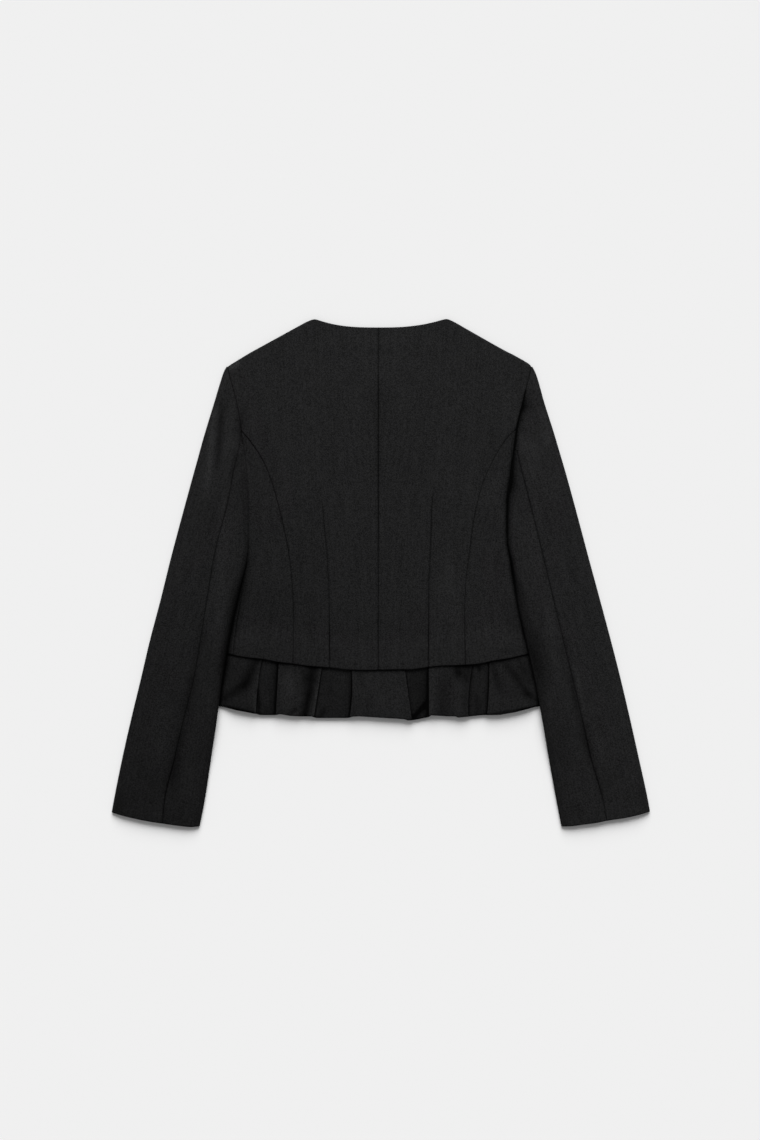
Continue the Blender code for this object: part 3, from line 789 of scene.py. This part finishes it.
def across(start, end, lines):
    """Where grid lines fall between a start and an end, drawn in where the strip is narrow."""
    distance, share = lines
    width = end - start
    room = np.clip(np.abs(width) / EDGE_ROOM, 0, 1) * np.sign(width)
    return start + distance * room + share * width


def place(side, out, y, z):
    return np.stack([SIDES[side] * out, y, z], axis=-1)


def side_by_side(*grids):
    return np.concatenate(grids, axis=1)


def shell_faces(rows, columns):
    """Quads of a closed shell: its outer grid, its inner grid turned round, and the rim between."""
    number = np.arange(rows * columns).reshape(rows, columns)
    corners = number[:-1, :-1], number[:-1, 1:], number[1:, 1:], number[1:, :-1]
    outer = np.stack(corners, axis=-1).reshape(-1, 4)
    rim = np.concatenate([number[0, :-1], number[:-1, -1], number[-1, :0:-1], number[:0:-1, 0]])
    ahead = np.roll(rim, -1)
    far = rows * columns
    between = np.stack([ahead, rim, rim + far, ahead + far], axis=1)
    return np.concatenate([outer, outer[:, ::-1] + far, between])


def facing_out(faces, points):
    """The faces of a closed shell, all turned round if it is inside out."""
    a, b, c, d = points[faces].transpose(1, 0, 2)
    volume = np.sum(a * (np.cross(b, c) + np.cross(c, d)))
    return faces if volume > 0 else faces[:, ::-1]


def steps_along(points):
    """Distance run along the first axis of a grid of points."""
    step = np.linalg.norm(np.diff(points, axis=0), axis=2)
    return np.concatenate([np.zeros((1, points.shape[1])), np.cumsum(step, axis=0)])


def headings(points):
    """Which way the first axis of a grid of points runs at each of them."""
    piece = np.diff(points, axis=0)
    piece /= np.linalg.norm(piece, axis=2, keepdims=True)
    return np.concatenate([piece[:1], piece[:-1] + piece[1:], piece[-1:]])


def shell_points(mid, run_down, run_over, thickness):
    """Both sides of cloth around its middle grid, its thickness rounded off along the edges."""
    down = headings(mid)
    over = headings(mid.transpose(1, 0, 2)).transpose(1, 0, 2)
    normal = np.cross(over, down)
    normal /= np.linalg.norm(normal, axis=2, keepdims=True)
    inset = np.minimum(np.minimum(run_down, run_down[-1] - run_down),
                       np.minimum(run_over, run_over[:, -1:] - run_over))
    bulge = 1 - np.clip(inset / (thickness / 2), 0, 1)
    half = normal * (thickness / 2 * np.maximum(EDGE_THIN, np.sqrt(1 - bulge ** 2)))[..., None]
    return np.concatenate([(mid + half).reshape(-1, 3), (mid - half).reshape(-1, 3)])


def cloth_shell(name, mid, thickness, painted_shade):
    """One piece of cloth as a closed shell with round edges, its weave laid out in metres on a UV map.

    painted_shade is the share of light painted out of each point's colour in a seam, a fold, a crevice, at
    an edge or down its length, below zero a painted highlight on a ridge.
    """
    rows, columns = mid.shape[:2]
    run_down = steps_along(mid)
    run_over = steps_along(mid.transpose(1, 0, 2)).T
    points = shell_points(mid, run_down, run_over, thickness)
    faces = facing_out(shell_faces(rows, columns), points)

    name += "_cloth"
    mesh = bpy.data.meshes.new(name)
    mesh.from_pydata(((points + CENTRING) * MM).tolist(), [], faces.tolist())
    mesh.shade_smooth()
    grain = [run_over - run_over[:, columns // 2, None], run_down[rows // 2] - run_down]
    weave = np.tile(np.stack(grain, axis=-1).reshape(-1, 2) * MM, (2, 1))
    loops = np.empty(len(mesh.loops), int)
    mesh.loops.foreach_get("vertex_index", loops)
    mesh.uv_layers.new(name="weave").uv.foreach_set("vector", weave[loops].ravel())
    mask = mesh.attributes.new("painted_shade", "FLOAT", "POINT")
    mask.data.foreach_set("value", np.tile(painted_shade.ravel(), 2))
    piece = bpy.data.objects.new(name, mesh)
    bpy.context.scene.collection.objects.link(piece)
    cell_down, cell_over = mid[1:, :-1] - mid[:-1, :-1], mid[:-1, 1:] - mid[:-1, :-1]
    area = np.linalg.norm(np.cross(cell_down, cell_over), axis=2).sum()
    piece["cut"] = [run_over[:, -1].max() * MM, run_down[-1].max() * MM, area * MM * MM]
    return piece


def body_shares(last=1.0):
    """Rows of body cloth from the bodice edge, at 0, to the shoulder, at 1, as a column of shares."""
    rows = lines_across(int(last * SIDE_LENGTH / ROW_STEP))
    return across(0.0, last * SIDE_LENGTH, rows)[:, None] / SIDE_LENGTH


def settle(side, column, top, share):
    """Out and y of body cloth whose columns run from the bodice edge to their own tops."""
    y = mix(HEM_Y, top, share) + np.zeros_like(share)
    for _ in range(SETTLING_ROUNDS):
        out = column(y)
        y = mix(hem(SIDES[side] * out), top, share)
    return out, y


def lay_strips(side, strips, top_y, share):
    """Grid of body cloth in strips side by side: out, y, and the out of each column's top.

    A strip has the lines that it runs from and to, where its top starts and ends, and a count.
    """
    outs, ys, tops = [], [], []
    for start, end, top_start, top_end, count in strips:
        lines = lines_across(count)
        top = across(top_start, top_end, lines)
        out, y = settle(side, lambda y: across(start(y), end(y), lines), top_y(top) - SHOULDER_ROLL, share)
        shared = 1 if outs else 0
        outs.append(out[:, shared:])
        ys.append(y[:, shared:])
        tops.append(top[shared:])
    return side_by_side(*outs), side_by_side(*ys), np.concatenate(tops)


def roll_rows(out, y, z, edge, top, seam_height):
    """Rows added along a top edge that roll over to the seam at the shoulder and lie flat at the neck."""
    turn = ease((top - NECK_HALF) / SHOULDER_RUN)
    radius = z[-1] - seam_height
    slant = math.hypot(1, (NECK_POINT_Y - TIP_Y) / (TIP_OUT["left"] - NECK_HALF))
    angle = ROLL_ANGLES[:, None]
    inset = (np.abs(radius) * (1 - np.sin(angle)) + turn * WALL / 2) * slant
    drop = turn * radius * (1 - np.cos(angle))
    rolled = np.repeat(out[-1:], len(ROLL_ANGLES), axis=0), edge - inset, z[-1] - drop
    return (np.concatenate(pair) for pair in zip((out, y, z), rolled))


def side_roll(y, side, upward, angle):
    """Out and z of cloth that rolls over along the body's side, flat beside the armhole."""
    edge = body_edge(y, side)
    turn = 1 - ease((y - ROLL_TOP_Y) / ROLL_TOP_RUN)
    room = np.clip((edge - princess(y, side)) / ROLL_ROOM, ROLL_LEAST, 1)
    flat = back_height(edge - ROLL_IN, y, side)
    radius = (flat - WALL / 2) / 2
    start = WALL / 2 if upward else flat
    way = 1 if upward else -1
    flat_inset = room * ARMHOLE_FLAT * (1 - np.sin(angle)) + SEAM_GAP / 2
    inset = mix(flat_inset, WALL / 2 + radius * (1 - np.sin(angle)), turn)
    return edge - inset, start + way * turn * radius * (1 - np.cos(angle))


def rolled_side(side, upward, top, share):
    """Out, y and z of the columns that roll over along the body's side."""
    out, y = settle(side, lambda y: side_roll(y, side, upward, ROLL_ANGLES)[0], top, share)
    return out, y, side_roll(y, side, upward, ROLL_ANGLES)[1]


def centre_back(side):
    """Half of the middle of the back, with its waist dart."""
    middle = CENTRE_OUT[side] + SEAM_GAP / 2

    def outer(y):
        seam = np.where(y < PRINCESS_TOP_Y[side] + JUMP, princess(y, side), body_edge(y, side))
        return seam - SEAM_GAP / 2

    to_dart, past_dart = CENTRE_BACK_LINES
    strips = (
        (lambda y: middle + 0 * y, lambda y: dart(y, side), middle, NECK_HALF, to_dart),
        (lambda y: dart(y, side), outer, NECK_HALF, TIP_OUT[side] - SEAM_GAP / 2, past_dart),
    )
    out, y, top = lay_strips(side, strips, lambda top: back_top(top, side), body_shares())
    z = back_height(out, y, side) + creases(SIDES[side] * out, y, BODY_CREASES)[0]
    z -= seam_dip(out - middle) + seam_dip(outer(y) - out)
    z -= sewn_dart(y, side) * seam_dip(out - dart(y, side))
    seam_height = (z[-1] + WALL / 2) / 2
    out, y, z = roll_rows(out, y, z, back_top(top, side), top, seam_height)
    painted_shade = back_shade(out, y, side) + ditch(out - middle) * read(BACK_SHOW, y, "centre")
    painted_shade += ditch(outer(y) - out) * read(BACK_SHOW, y, "princess_" + side)
    painted_shade += sewn_dart(y, side) * ditch(out - dart(y, side)) * read(BACK_SHOW, y, "dart_" + side)
    return cloth_shell("centre_back_" + side, place(side, out, y, z), WALL, painted_shade)


def side_back(side):
    """Side of the back, from the curved seam to where it rolls over to the front."""
    def start(y):
        return princess(y, side) + SEAM_GAP / 2

    def flat_edge(y):
        return side_roll(y, side, False, 0.0)[0]

    def side_seam(y):
        return mix(start(y), flat_edge(y), SIDE_SEAM_SHARE[side])

    share = body_shares((PRINCESS_TOP_Y[side] - SIDE_HEM_Y) / SIDE_LENGTH)
    to_seam, past_seam = SIDE_BACK_LINES
    # The top is level, so it is the same wherever the strips' tops start and end
    strips = (start, side_seam, 0.0, 1.0, to_seam), (side_seam, flat_edge, 1.0, 2.0, past_seam)
    out, y, _ = lay_strips(side, strips, lambda top: np.full_like(top, TIP_Y), share)
    z = back_height(out, y, side) + creases(SIDES[side] * out, y, BODY_CREASES)[0]
    z -= seam_dip(out - start(y)) + SIDE_SEAM_DEPTH * seam_dip(out - side_seam(y))
    rolled = rolled_side(side, False, np.full(len(ROLL_ANGLES), TIP_Y - SHOULDER_ROLL), share)
    out, y, z = (side_by_side(*pair) for pair in zip((out, y, z), rolled))
    from_seam = out - side_seam(y)
    # Painted highlight on the ridge beside the side seam
    ridge = RIDGE_LIGHT * np.exp(-(((from_seam - RIDGE_OUT) / RIDGE_WIDE) ** 2))
    painted_shade = back_shade(out, y, side) + ditch(out - start(y)) * read(BACK_SHOW, y, "princess_" + side)
    painted_shade += ease((SIDE_SEAM_Y - y) / SIDE_SEAM_RUN) * (SIDE_SEAM_DARK * ditch(from_seam) - ridge)
    return cloth_shell("side_back_" + side, place(side, out, y, z), WALL, painted_shade)


def front(side):
    """Half of the front, plain, which lies on the table and rolls up at the side and the shoulder."""
    def flat_edge(y):
        return side_roll(y, side, True, 0.0)[0]

    share = body_shares()
    to_dart, past_dart = FRONT_LINES
    strips = (
        (lambda y: FRONT_OUT + 0 * y, lambda y: dart(y, side), FRONT_OUT, NECK_HALF, to_dart),
        (lambda y: dart(y, side), flat_edge, NECK_HALF, TIP_OUT[side] - ARMHOLE_FLAT, past_dart),
    )
    out, y, top = lay_strips(side, strips, lambda top: front_top(top, side), share)
    z = np.full_like(out, WALL / 2)
    rolled_top = TIP_OUT[side] - ARMHOLE_FLAT * (1 - np.sin(ROLL_ANGLES))
    rolled = rolled_side(side, True, front_top(rolled_top, side) - SHOULDER_ROLL, share)
    out, y, z = (side_by_side(*pair) for pair in zip((out, y, z), rolled))
    top = np.concatenate([top, rolled_top])
    seam_height = (back_height(out[-1], y[-1], side) + WALL / 2) / 2
    out, y, z = roll_rows(out, y, z, front_top(top, side), top, seam_height)
    return cloth_shell("front_" + side, place(side, out, y, z), WALL, painted_falloff(SIDES[side] * out, y))


def lift(out, y):
    """How far a sleeve is raised where it lies on the body or on the peplum."""
    under = read(LIFT_LINE, y, "out")
    along = ease((LIFT_TOP_Y - y) / LIFT_TOP_RUN) * ease((y + LIFT_LOW) / LIFT_LOW_RUN)
    return LIFT * along * ease((under + LIFT_EDGE + LIFT_RAMP - out) / LIFT_RAMP)


def sleeve_low(out, y):
    """Middle of the sleeve cloth that lies underneath."""
    return WALL / 2 + lift(out, y)


def sleeve_high(out, y, side):
    """Middle of the upper sleeve cloth, full in the middle and rolling down to both folds."""
    inner_gap = mix(FOLD_GAP, BODY_GAP, ease((y - CAP_Y) / CAP_RUN))
    from_inner = np.exp(-np.maximum(out - sleeve(y, "inner", side), 0) / FOLD_SOFT)
    from_outer = np.exp(-np.maximum(sleeve(y, "outer", side) - out, 0) / FOLD_SOFT)
    gap = SLEEVE_FULL - (SLEEVE_FULL - inner_gap) * from_inner - (SLEEVE_FULL - FOLD_GAP) * from_outer
    return sleeve_low(out, y) + WALL + np.maximum(gap, FOLD_GAP)


def cuff_rows(rows, column, side):
    """Points of sleeve columns, their rows bending from level to the curve of the cuff."""
    share = ease((CUFF_BEND_Y - rows) / CUFF_BEND_RUN)
    y = rows
    for _ in range(SETTLING_ROUNDS):
        out = column(y)
        y = rows + share * (read(CUFF, out, side) - SLEEVE_END_Y)
    return out, y


def sleeve_rows(top, extra=()):
    """Rows of a sleeve piece from its top to the cuff, with any extra ones, as a column."""
    length = top - SLEEVE_END_Y
    rows = top - across(0.0, length, lines_across(int(length / SLEEVE_ROW_STEP)))
    return np.sort(np.append(rows, extra))[::-1, None]


def sleeve_piece(name, side, rows, top_from, low_from, fold, way, counts):
    """A sleeve piece from the seam on top, round a fold, to the seam underneath."""
    def radius(y):
        return np.clip(FOLD_SHARE * (np.abs(top_from(y) - fold(y)) - WALL / 2), FOLD_LEAST, FOLD_OUT)

    def centre(y):
        return fold(y) - way * (WALL / 2 + radius(y))

    spread = lines_across(counts[0])
    out, y = cuff_rows(rows, lambda y: across(top_from(y), centre(y), spread), side)
    from_seam, shown = out - top_from(y), read(SEAM_SHOW, y, side)
    high, light = creases(SIDES[side] * out, y, SLEEVE_CREASES)
    z = sleeve_high(out, y, side) + high * ease((np.abs(fold(y) - out) - FOLD_CLEAR) / FOLD_CLEAR_RUN)
    z -= seam_dip(from_seam) * shown
    pieces = [place(side, out, y, z)]
    cuff_edge_shade = lip(np.abs(rows - SLEEVE_END_Y))
    painted_shade = [sleeve_shade(out, y, side) + ditch(from_seam) * shown + cuff_edge_shade - light]

    angle = np.radians(np.linspace(0, 180, TURN_LINES))[1:-1]
    out, y = cuff_rows(rows, lambda y: centre(y) + way * radius(y) * np.sin(angle), side)
    high, low = sleeve_high(centre(y), y, side), sleeve_low(centre(y), y)
    pieces.append(place(side, out, y, mix(low, high, (1 + np.cos(angle)) / 2)))
    painted_shade.append(sleeve_shade(out, y, side))

    spread = lines_across(counts[1])
    out, y = cuff_rows(rows, lambda y: across(centre(y), low_from(y), spread), side)
    pieces.append(place(side, out, y, sleeve_low(out, y)))
    painted_shade.append(sleeve_shade(out, y, side))
    return cloth_shell(name, side_by_side(*pieces), WALL, side_by_side(*painted_shade))


def front_seam(y, side):
    """Seam of a sleeve's two pieces on its underside."""
    inner = sleeve(y, "inner", side)
    return inner + FRONT_SEAM_LEAST + FRONT_SEAM_IN * ease((FRONT_SEAM_Y - y) / FRONT_SEAM_RUN)


def sleeve_upper(side):
    """Upper sleeve, from the armhole and the back seam round the outer fold."""
    under_top = UNDER_TOP_Y[side]

    def from_armhole(y, seam):
        return np.where(y > under_top + JUMP, body_edge(y, side) - ARMHOLE_LAP, seam + SEAM_GAP / 2)

    def top_from(y):
        return from_armhole(y, sleeve(y, "seam", side))

    def low_from(y):
        return from_armhole(y, front_seam(y, side))

    def fold(y):
        return sleeve(y, "outer", side) + OUTER_EASE * ease((OUTER_EASE_Y - y) / OUTER_EASE_RUN)

    rows = sleeve_rows(SLEEVE_TOP_Y, [under_top + above for above in JUMP_ROWS])
    name = "sleeve_upper_" + side
    return sleeve_piece(name, side, rows, top_from, low_from, fold, 1, SLEEVE_UPPER_LINES)


def sleeve_under(side):
    """Under sleeve, from the back seam round the inner fold."""
    def top_from(y):
        return sleeve(y, "seam", side) - SEAM_GAP / 2

    def low_from(y):
        return front_seam(y, side) - SEAM_GAP / 2

    def fold(y):
        return sleeve(y, "inner", side)

    rows = sleeve_rows(UNDER_TOP_Y[side] + UNDER_LAP)
    name = "sleeve_under_" + side
    return sleeve_piece(name, side, rows, top_from, low_from, fold, -1, SLEEVE_UNDER_LINES)


def pleat_turn(x, layer, next_layer, radius, way):
    """A half turn of the pleated strip from one layer to the next, to the right or to the left."""
    angles = np.radians(np.linspace(90, -90, TURN_LINES)) * (layer - next_layer)
    middle = (layer + next_layer) / 2
    return [(x + way * radius * math.cos(a), middle + math.sin(a) / 2) for a in angles]


def pleat_path(ends, folds, radius):
    """Across one row of peplum: x and layer of each point, over, under and over again at each pleat."""
    panel = np.linspace(0, 1, PANEL_LINES)
    behind = np.linspace(0, 1, BEHIND_LINES)[1:-1]
    clear = PEPLUM_WALL / 2
    path = [(ends[0], OVER)]
    for left, right in folds:
        start = path[-1][0]
        left_fold, right_fold = left - clear - radius, right + clear + radius
        left_back, right_back = left - PLEAT_RETURN, right + PLEAT_RETURN
        path += [(mix(start, left_fold, f), OVER) for f in panel[1:-1]]
        path += pleat_turn(left_fold, OVER, BETWEEN, radius, 1)
        path += [(mix(left_fold, left_back, f), BETWEEN) for f in RETURN_SHARES]
        path += pleat_turn(left_back, BETWEEN, UNDER, radius, -1)
        path += [(mix(left_back, right_back, f), UNDER) for f in behind]
        path += pleat_turn(right_back, UNDER, BETWEEN, radius, 1)
        path += [(mix(right_back, right_fold, f), BETWEEN) for f in RETURN_SHARES]
        path += pleat_turn(right_fold, BETWEEN, OVER, radius, -1)
    start = path[-1][0]
    path += [(mix(start, ends[1], f), OVER) for f in panel[1:]]
    return np.array(path)


def peplum_y(x, below, shorter=0.0):
    """How far down a peplum point lies, its rows going from the bodice edge to the hem line."""
    share = max(below, 0) / PEPLUM_LENGTH
    hem_y = np.interp(x, PEPLUM_HEM["x"], PEPLUM_HEM["y"]) + shorter
    return mix(hem(x), hem_y, share) - min(below, 0)


def peplum_belows():
    """Rows of the peplum by their distance below the bodice edge."""
    length = PEPLUM_LENGTH + PEPLUM_TUCK
    return across(0.0, length, lines_across(PEPLUM_ROWS)) - PEPLUM_TUCK


def pleat_folds(share):
    """Where the two folds of each pleat lie across a row, by its share of the peplum's length."""
    bow = 4 * share * (1 - share)
    folds = [mix(BACK_PLEATS[k + "_top"], BACK_PLEATS[k + "_hem"], share) + bow * BACK_PLEATS[k + "_bow"]
             for k in SIDES]
    return np.stack(folds, axis=1)


def pleat_shade(x, level, pleats):
    """Painted shade of the cloth between two folds, most beside the right one, and a painted highlight on
    a fold's edge.
    """
    total = np.zeros_like(x)
    shades = zip(*(BACK_PLEATS[k] for k in ("dark", "right_soft", "left_wide", "edge_light")))
    for (left, right), (dark, right_soft, left_wide, edge_light) in zip(pleats, shades):
        behind = (level < BETWEEN) & (x > left - PLEAT_RETURN) & (x < right + PLEAT_RETURN)
        from_left, from_right = np.maximum(x - left, 0), np.maximum(right - x, 0)
        deep = dark + RIGHT_DARK * np.exp(-from_right / RIGHT_CLOSE)
        deep += right_soft * np.exp(-from_right / RIGHT_WIDE) + LEFT_DARK * np.exp(-from_left / left_wide)
        edge = edge_light * np.exp(-np.maximum(left - x, 0) / EDGE_LIGHT_WIDE)
        total += np.where(behind, deep, 0) - np.where((level > BETWEEN) & (x < left), edge, 0)
    return total


def peplum_shade(x, y, below, level, pleats, light):
    """Painted shade on a row of the back peplum, most under the bodice edge and behind the pleats."""
    shown = max(below, 0)
    dark = pleat_shade(x, level, pleats) - light * ease((below + CREASE_LIGHT_ABOVE) / CREASE_LIGHT_RUN)
    dark += WAIST_DARK * np.exp(-shown / read(LIP_SHADE, x, "wide"))
    pale = np.where(level < BETWEEN, WAIST_PALE_UNDER, WAIST_PALE)
    dark -= pale * np.exp(-shown / WAIST_PALE_WIDE)
    dark += lip(PEPLUM_LENGTH - below) + painted_falloff(x, y)
    return dark + np.where(x < 0, crevice(-x, y, "left", False), crevice(x, y, "right", False))


def peplum_back():
    """Pleated strip below the bodice edge, its top tucked in under it."""
    grid, painted_shade = [], []
    for below in peplum_belows():
        base, step, low, left_end, right_end, start, run = (read(PEPLUM_LAYERS, below, k) for k in (
            "back_base", "back_step", "end_height", "left_end", "right_end", "side_start", "side_run"))
        pleats = pleat_folds(max(below, 0) / PEPLUM_LENGTH)
        x, level = pleat_path((-left_end, right_end), pleats, step / 2).T
        y = peplum_y(x, below)
        high, light = creases(x, y, PEPLUM_CREASES)
        free = np.min([np.maximum(left - x, x - right) for left, right in pleats], axis=0) - PLEAT_RETURN
        creased = 1 + high * ease((below - CREASE_BELOW) / CREASE_RUN) / (base + OVER * step - low)
        least = mix(LEAST_AT_PLEAT, LEAST_CLEAR, ease(free / CLEAR_RUN))
        inside = np.minimum(x + left_end, right_end - x)
        z = low + (base + level * step - low) * np.maximum(least, creased) * ease((inside - start) / run)
        grid.append(np.stack([x, y, z], axis=1))
        painted_shade.append(peplum_shade(x, y, below, level, pleats, light))
    return cloth_shell("peplum_back", np.array(grid), PEPLUM_WALL, np.array(painted_shade))


def peplum_front(side):
    """Plain strip under the back peplum, from the side to the middle of the front."""
    grid = []
    lines = lines_across(PEPLUM_FRONT_LINES)
    for below in peplum_belows():
        end = mix(FRONT_SIDE_TOP, FRONT_SIDE_HEM, max(below, 0) / PEPLUM_LENGTH)
        out = across(FRONT_OUT, end, lines)
        z = np.full_like(out, read(PEPLUM_LAYERS, below, "front"))
        grid.append(place(side, out, peplum_y(SIDES[side] * out, below, FRONT_SHORTER), z))
    grid = np.array(grid)
    return cloth_shell("peplum_front_" + side, grid, PEPLUM_WALL, painted_falloff(grid[..., 0], grid[..., 1]))


def set_inputs(made, values):
    for name, value in values.items():
        made.inputs[name].default_value = value


def node(tree, kind, links, values, **settings):
    """A node with its settings, what its inputs are linked to, and its plain values."""
    made = tree.nodes.new(kind)
    for name, value in settings.items():
        setattr(made, name, value)
    set_inputs(made, values)
    for name, source in links.items():
        tree.links.new(source, made.inputs[name])
    return made


def maths(tree, operation, *terms):
    """A Math node; each term is a number or an output."""
    made = tree.nodes.new("ShaderNodeMath")
    made.operation = operation
    for socket, term in zip(made.inputs, terms):
        if isinstance(term, (int, float)):
            socket.default_value = term
        else:
            tree.links.new(term, socket)
    return made.outputs[0]


def suiting_weave():
    """Shader group of the cloth: a shade for each crossing of its uneven yarns times the painted shade,
    and its weave's height.
    """
    tree = bpy.data.node_groups.new("suiting_weave", "ShaderNodeTree")
    tree.interface.new_socket("Weave", in_out="INPUT", socket_type="NodeSocketVector")
    for name in ("Painted_shade", "Yarn pitch", "Fleck", "Slub"):
        tree.interface.new_socket(name, in_out="INPUT", socket_type="NodeSocketFloat")
    for name in ("Shade", "Height", "Roughness"):
        tree.interface.new_socket(name, in_out="OUTPUT", socket_type="NodeSocketFloat")
    inside = tree.nodes.new("NodeGroupInput").outputs

    def noise(scale):
        spread = node(tree, "ShaderNodeVectorMath", {0: inside["Weave"]}, {1: scale}, operation="MULTIPLY")
        plain = {"Scale": 1.0, "Detail": 1.0}
        made = node(tree, "ShaderNodeTexNoise", {"Vector": spread.outputs[0]}, plain)
        return maths(tree, "SUBTRACT", made.outputs[0], 0.5)

    at = node(tree, "ShaderNodeSeparateXYZ", {"Vector": inside["Weave"]}, {}).outputs
    yarn, pick = (maths(tree, "DIVIDE", at[k], inside["Yarn pitch"]) for k in "XY")
    whole = {"X": maths(tree, "FLOOR", yarn), "Y": maths(tree, "FLOOR", pick)}
    crossing = node(tree, "ShaderNodeCombineXYZ", whole, {}).outputs[0]
    chance = node(tree, "ShaderNodeTexWhiteNoise", {"Vector": crossing}, {}, noise_dimensions="2D")
    fleck = maths(tree, "SUBTRACT", chance.outputs["Value"], 0.5)
    fleck = maths(tree, "MULTIPLY", fleck, inside["Fleck"])
    long_streak = maths(tree, "MULTIPLY", noise(LONG_STREAK), LONG_STREAK_SHARE)
    streak = maths(tree, "ADD", noise(STREAK), long_streak)
    cloudy = maths(tree, "ADD", streak, maths(tree, "MULTIPLY", noise(CLOUD), CLOUD_SHARE))
    uneven = maths(tree, "ADD", fleck, maths(tree, "MULTIPLY", cloudy, inside["Slub"]))
    # Light left in the colour after the painted shade
    lit = maths(tree, "MAXIMUM", maths(tree, "SUBTRACT", 1.0, inside["Painted_shade"]), LEAST_LIT)
    yarn_shade = maths(tree, "MAXIMUM", maths(tree, "ADD", uneven, 1.0), LEAST_SHADE)

    waves = (maths(tree, "SINE", maths(tree, "MULTIPLY", k, math.pi)) for k in (yarn, pick))
    rounded = maths(tree, "ABSOLUTE", maths(tree, "MULTIPLY", *waves))
    outside = tree.nodes.new("NodeGroupOutput").inputs
    results = {
        "Shade": maths(tree, "MULTIPLY", yarn_shade, lit),
        "Height": maths(tree, "ADD", maths(tree, "MULTIPLY", rounded, YARN_RELIEF), fleck),
        "Roughness": maths(tree, "SUBTRACT", ROUGH, maths(tree, "MULTIPLY", uneven, ROUGH_SPREAD)),
    }
    for name, result in results.items():
        tree.links.new(result, outside[name])
    return tree


def suiting(name, weave, colour):
    """Black suiting: dull yarns with a faint bloom of loose fibre."""
    material = bpy.data.materials.new(name)
    material.use_nodes = True
    tree = material.node_tree
    laid = node(tree, "ShaderNodeUVMap", {}, {}, uv_map="weave").outputs[0]
    painted_shade = node(tree, "ShaderNodeAttribute", {}, {}, attribute_name="painted_shade").outputs["Fac"]
    cloth = node(tree, "ShaderNodeGroup", {"Weave": laid, "Painted_shade": painted_shade},
                 {"Yarn pitch": YARN_PITCH, "Fleck": FLECK, "Slub": SLUB}, node_tree=weave).outputs
    # Base colour: the yarns' own tone times the painted shade
    dyed_and_shaded = node(tree, "ShaderNodeVectorMath", {"Scale": cloth["Shade"]}, {0: colour}, operation="SCALE")
    raised = node(tree, "ShaderNodeBump", {"Height": cloth["Height"]},
                  {"Strength": RELIEF_STRENGTH, "Distance": RELIEF_DEPTH})
    shader = tree.nodes["Principled BSDF"]
    tree.links.new(dyed_and_shaded.outputs[0], shader.inputs["Base Color"])
    tree.links.new(cloth["Roughness"], shader.inputs["Roughness"])
    tree.links.new(raised.outputs[0], shader.inputs["Normal"])
    set_inputs(shader, {"Specular IOR Level": GLOSS, "Sheen Weight": BLOOM,
                        "Sheen Roughness": BLOOM_ROUGH, "Sheen Tint": BLOOM_TINT})
    return material


def plain_floor():
    """Pale seamless floor under the jacket."""
    far = FLOOR_HALF
    mesh = bpy.data.meshes.new("floor")
    mesh.from_pydata([(-far, -far, 0), (far, -far, 0), (far, far, 0), (-far, far, 0)], [], [(0, 1, 2, 3)])
    material = bpy.data.materials.new("pale_paper")
    material.use_nodes = True
    set_inputs(material.node_tree.nodes["Principled BSDF"],
               {"Base Color": FLOOR_COLOUR, "Roughness": 1.0, "Specular IOR Level": 0.0})
    mesh.materials.append(material)
    floor = bpy.data.objects.new("floor", mesh)
    bpy.context.scene.collection.objects.link(floor)


def studio_light():
    """A broad soft lamp above the neck, a little to the right, and even light from all round."""
    turned, height = math.radians(LAMP_TURNED), math.radians(LAMP_HEIGHT)
    level = math.cos(height)
    towards = Vector((math.sin(turned) * level, math.cos(turned) * level, math.sin(height)))
    lamp = bpy.data.lights.new("key", "SUN")
    lamp.energy = LAMP_ENERGY
    lamp.angle = math.radians(LAMP_SPREAD)
    key = bpy.data.objects.new("key", lamp)
    key.rotation_euler = towards.to_track_quat("Z", "Y").to_euler()
    bpy.context.scene.collection.objects.link(key)
    world = bpy.data.worlds.new("studio")
    world.use_nodes = True
    set_inputs(world.node_tree.nodes["Background"], {"Color": ROUND_COLOUR, "Strength": ROUND_LIGHT})
    bpy.context.scene.world = world
    bpy.context.scene.view_settings.view_transform = "Standard"


def camera_above():
    """Straight down, as the photograph, with its long side upright."""
    lens = bpy.data.cameras.new("camera")
    lens.lens = LENS
    lens.clip_end = VIEW_REACH
    frame_long = PHOTO_LONG * MM_PER_PIXEL * MM
    away = frame_long * LENS / lens.sensor_width
    camera = bpy.data.objects.new("camera", lens)
    camera.location = Vector(PHOTO_MIDDLE) * MM + Vector((0, 0, away))
    bpy.context.scene.collection.objects.link(camera)
    bpy.context.scene.camera = camera


def dress(piece, material):
    """Finish of one piece, and what it stands for in the frame."""
    piece.data.materials.append(material)
    del piece["cut"]
    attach(piece, "root")
    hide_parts(piece.name.removesuffix("_cloth"))


plain_floor()
studio_light()
camera_above()
weave = suiting_weave()
bodice_cloth = suiting("bodice_suiting", weave, BODICE_BLACK)
sleeve_cloth = suiting("sleeve_suiting", weave, BODICE_BLACK)
# The peplum's suiting is the same cloth, darker as painted shade
peplum_shaded_cloth = suiting("peplum_shaded_suiting", weave, PEPLUM_SHADED_BLACK)
for side in SIDES:
    dress(front(side), bodice_cloth)
    dress(centre_back(side), bodice_cloth)
    dress(side_back(side), bodice_cloth)
    dress(sleeve_upper(side), sleeve_cloth)
    dress(sleeve_under(side), sleeve_cloth)
    dress(peplum_front(side), peplum_shaded_cloth)
dress(peplum_back(), peplum_shaded_cloth)
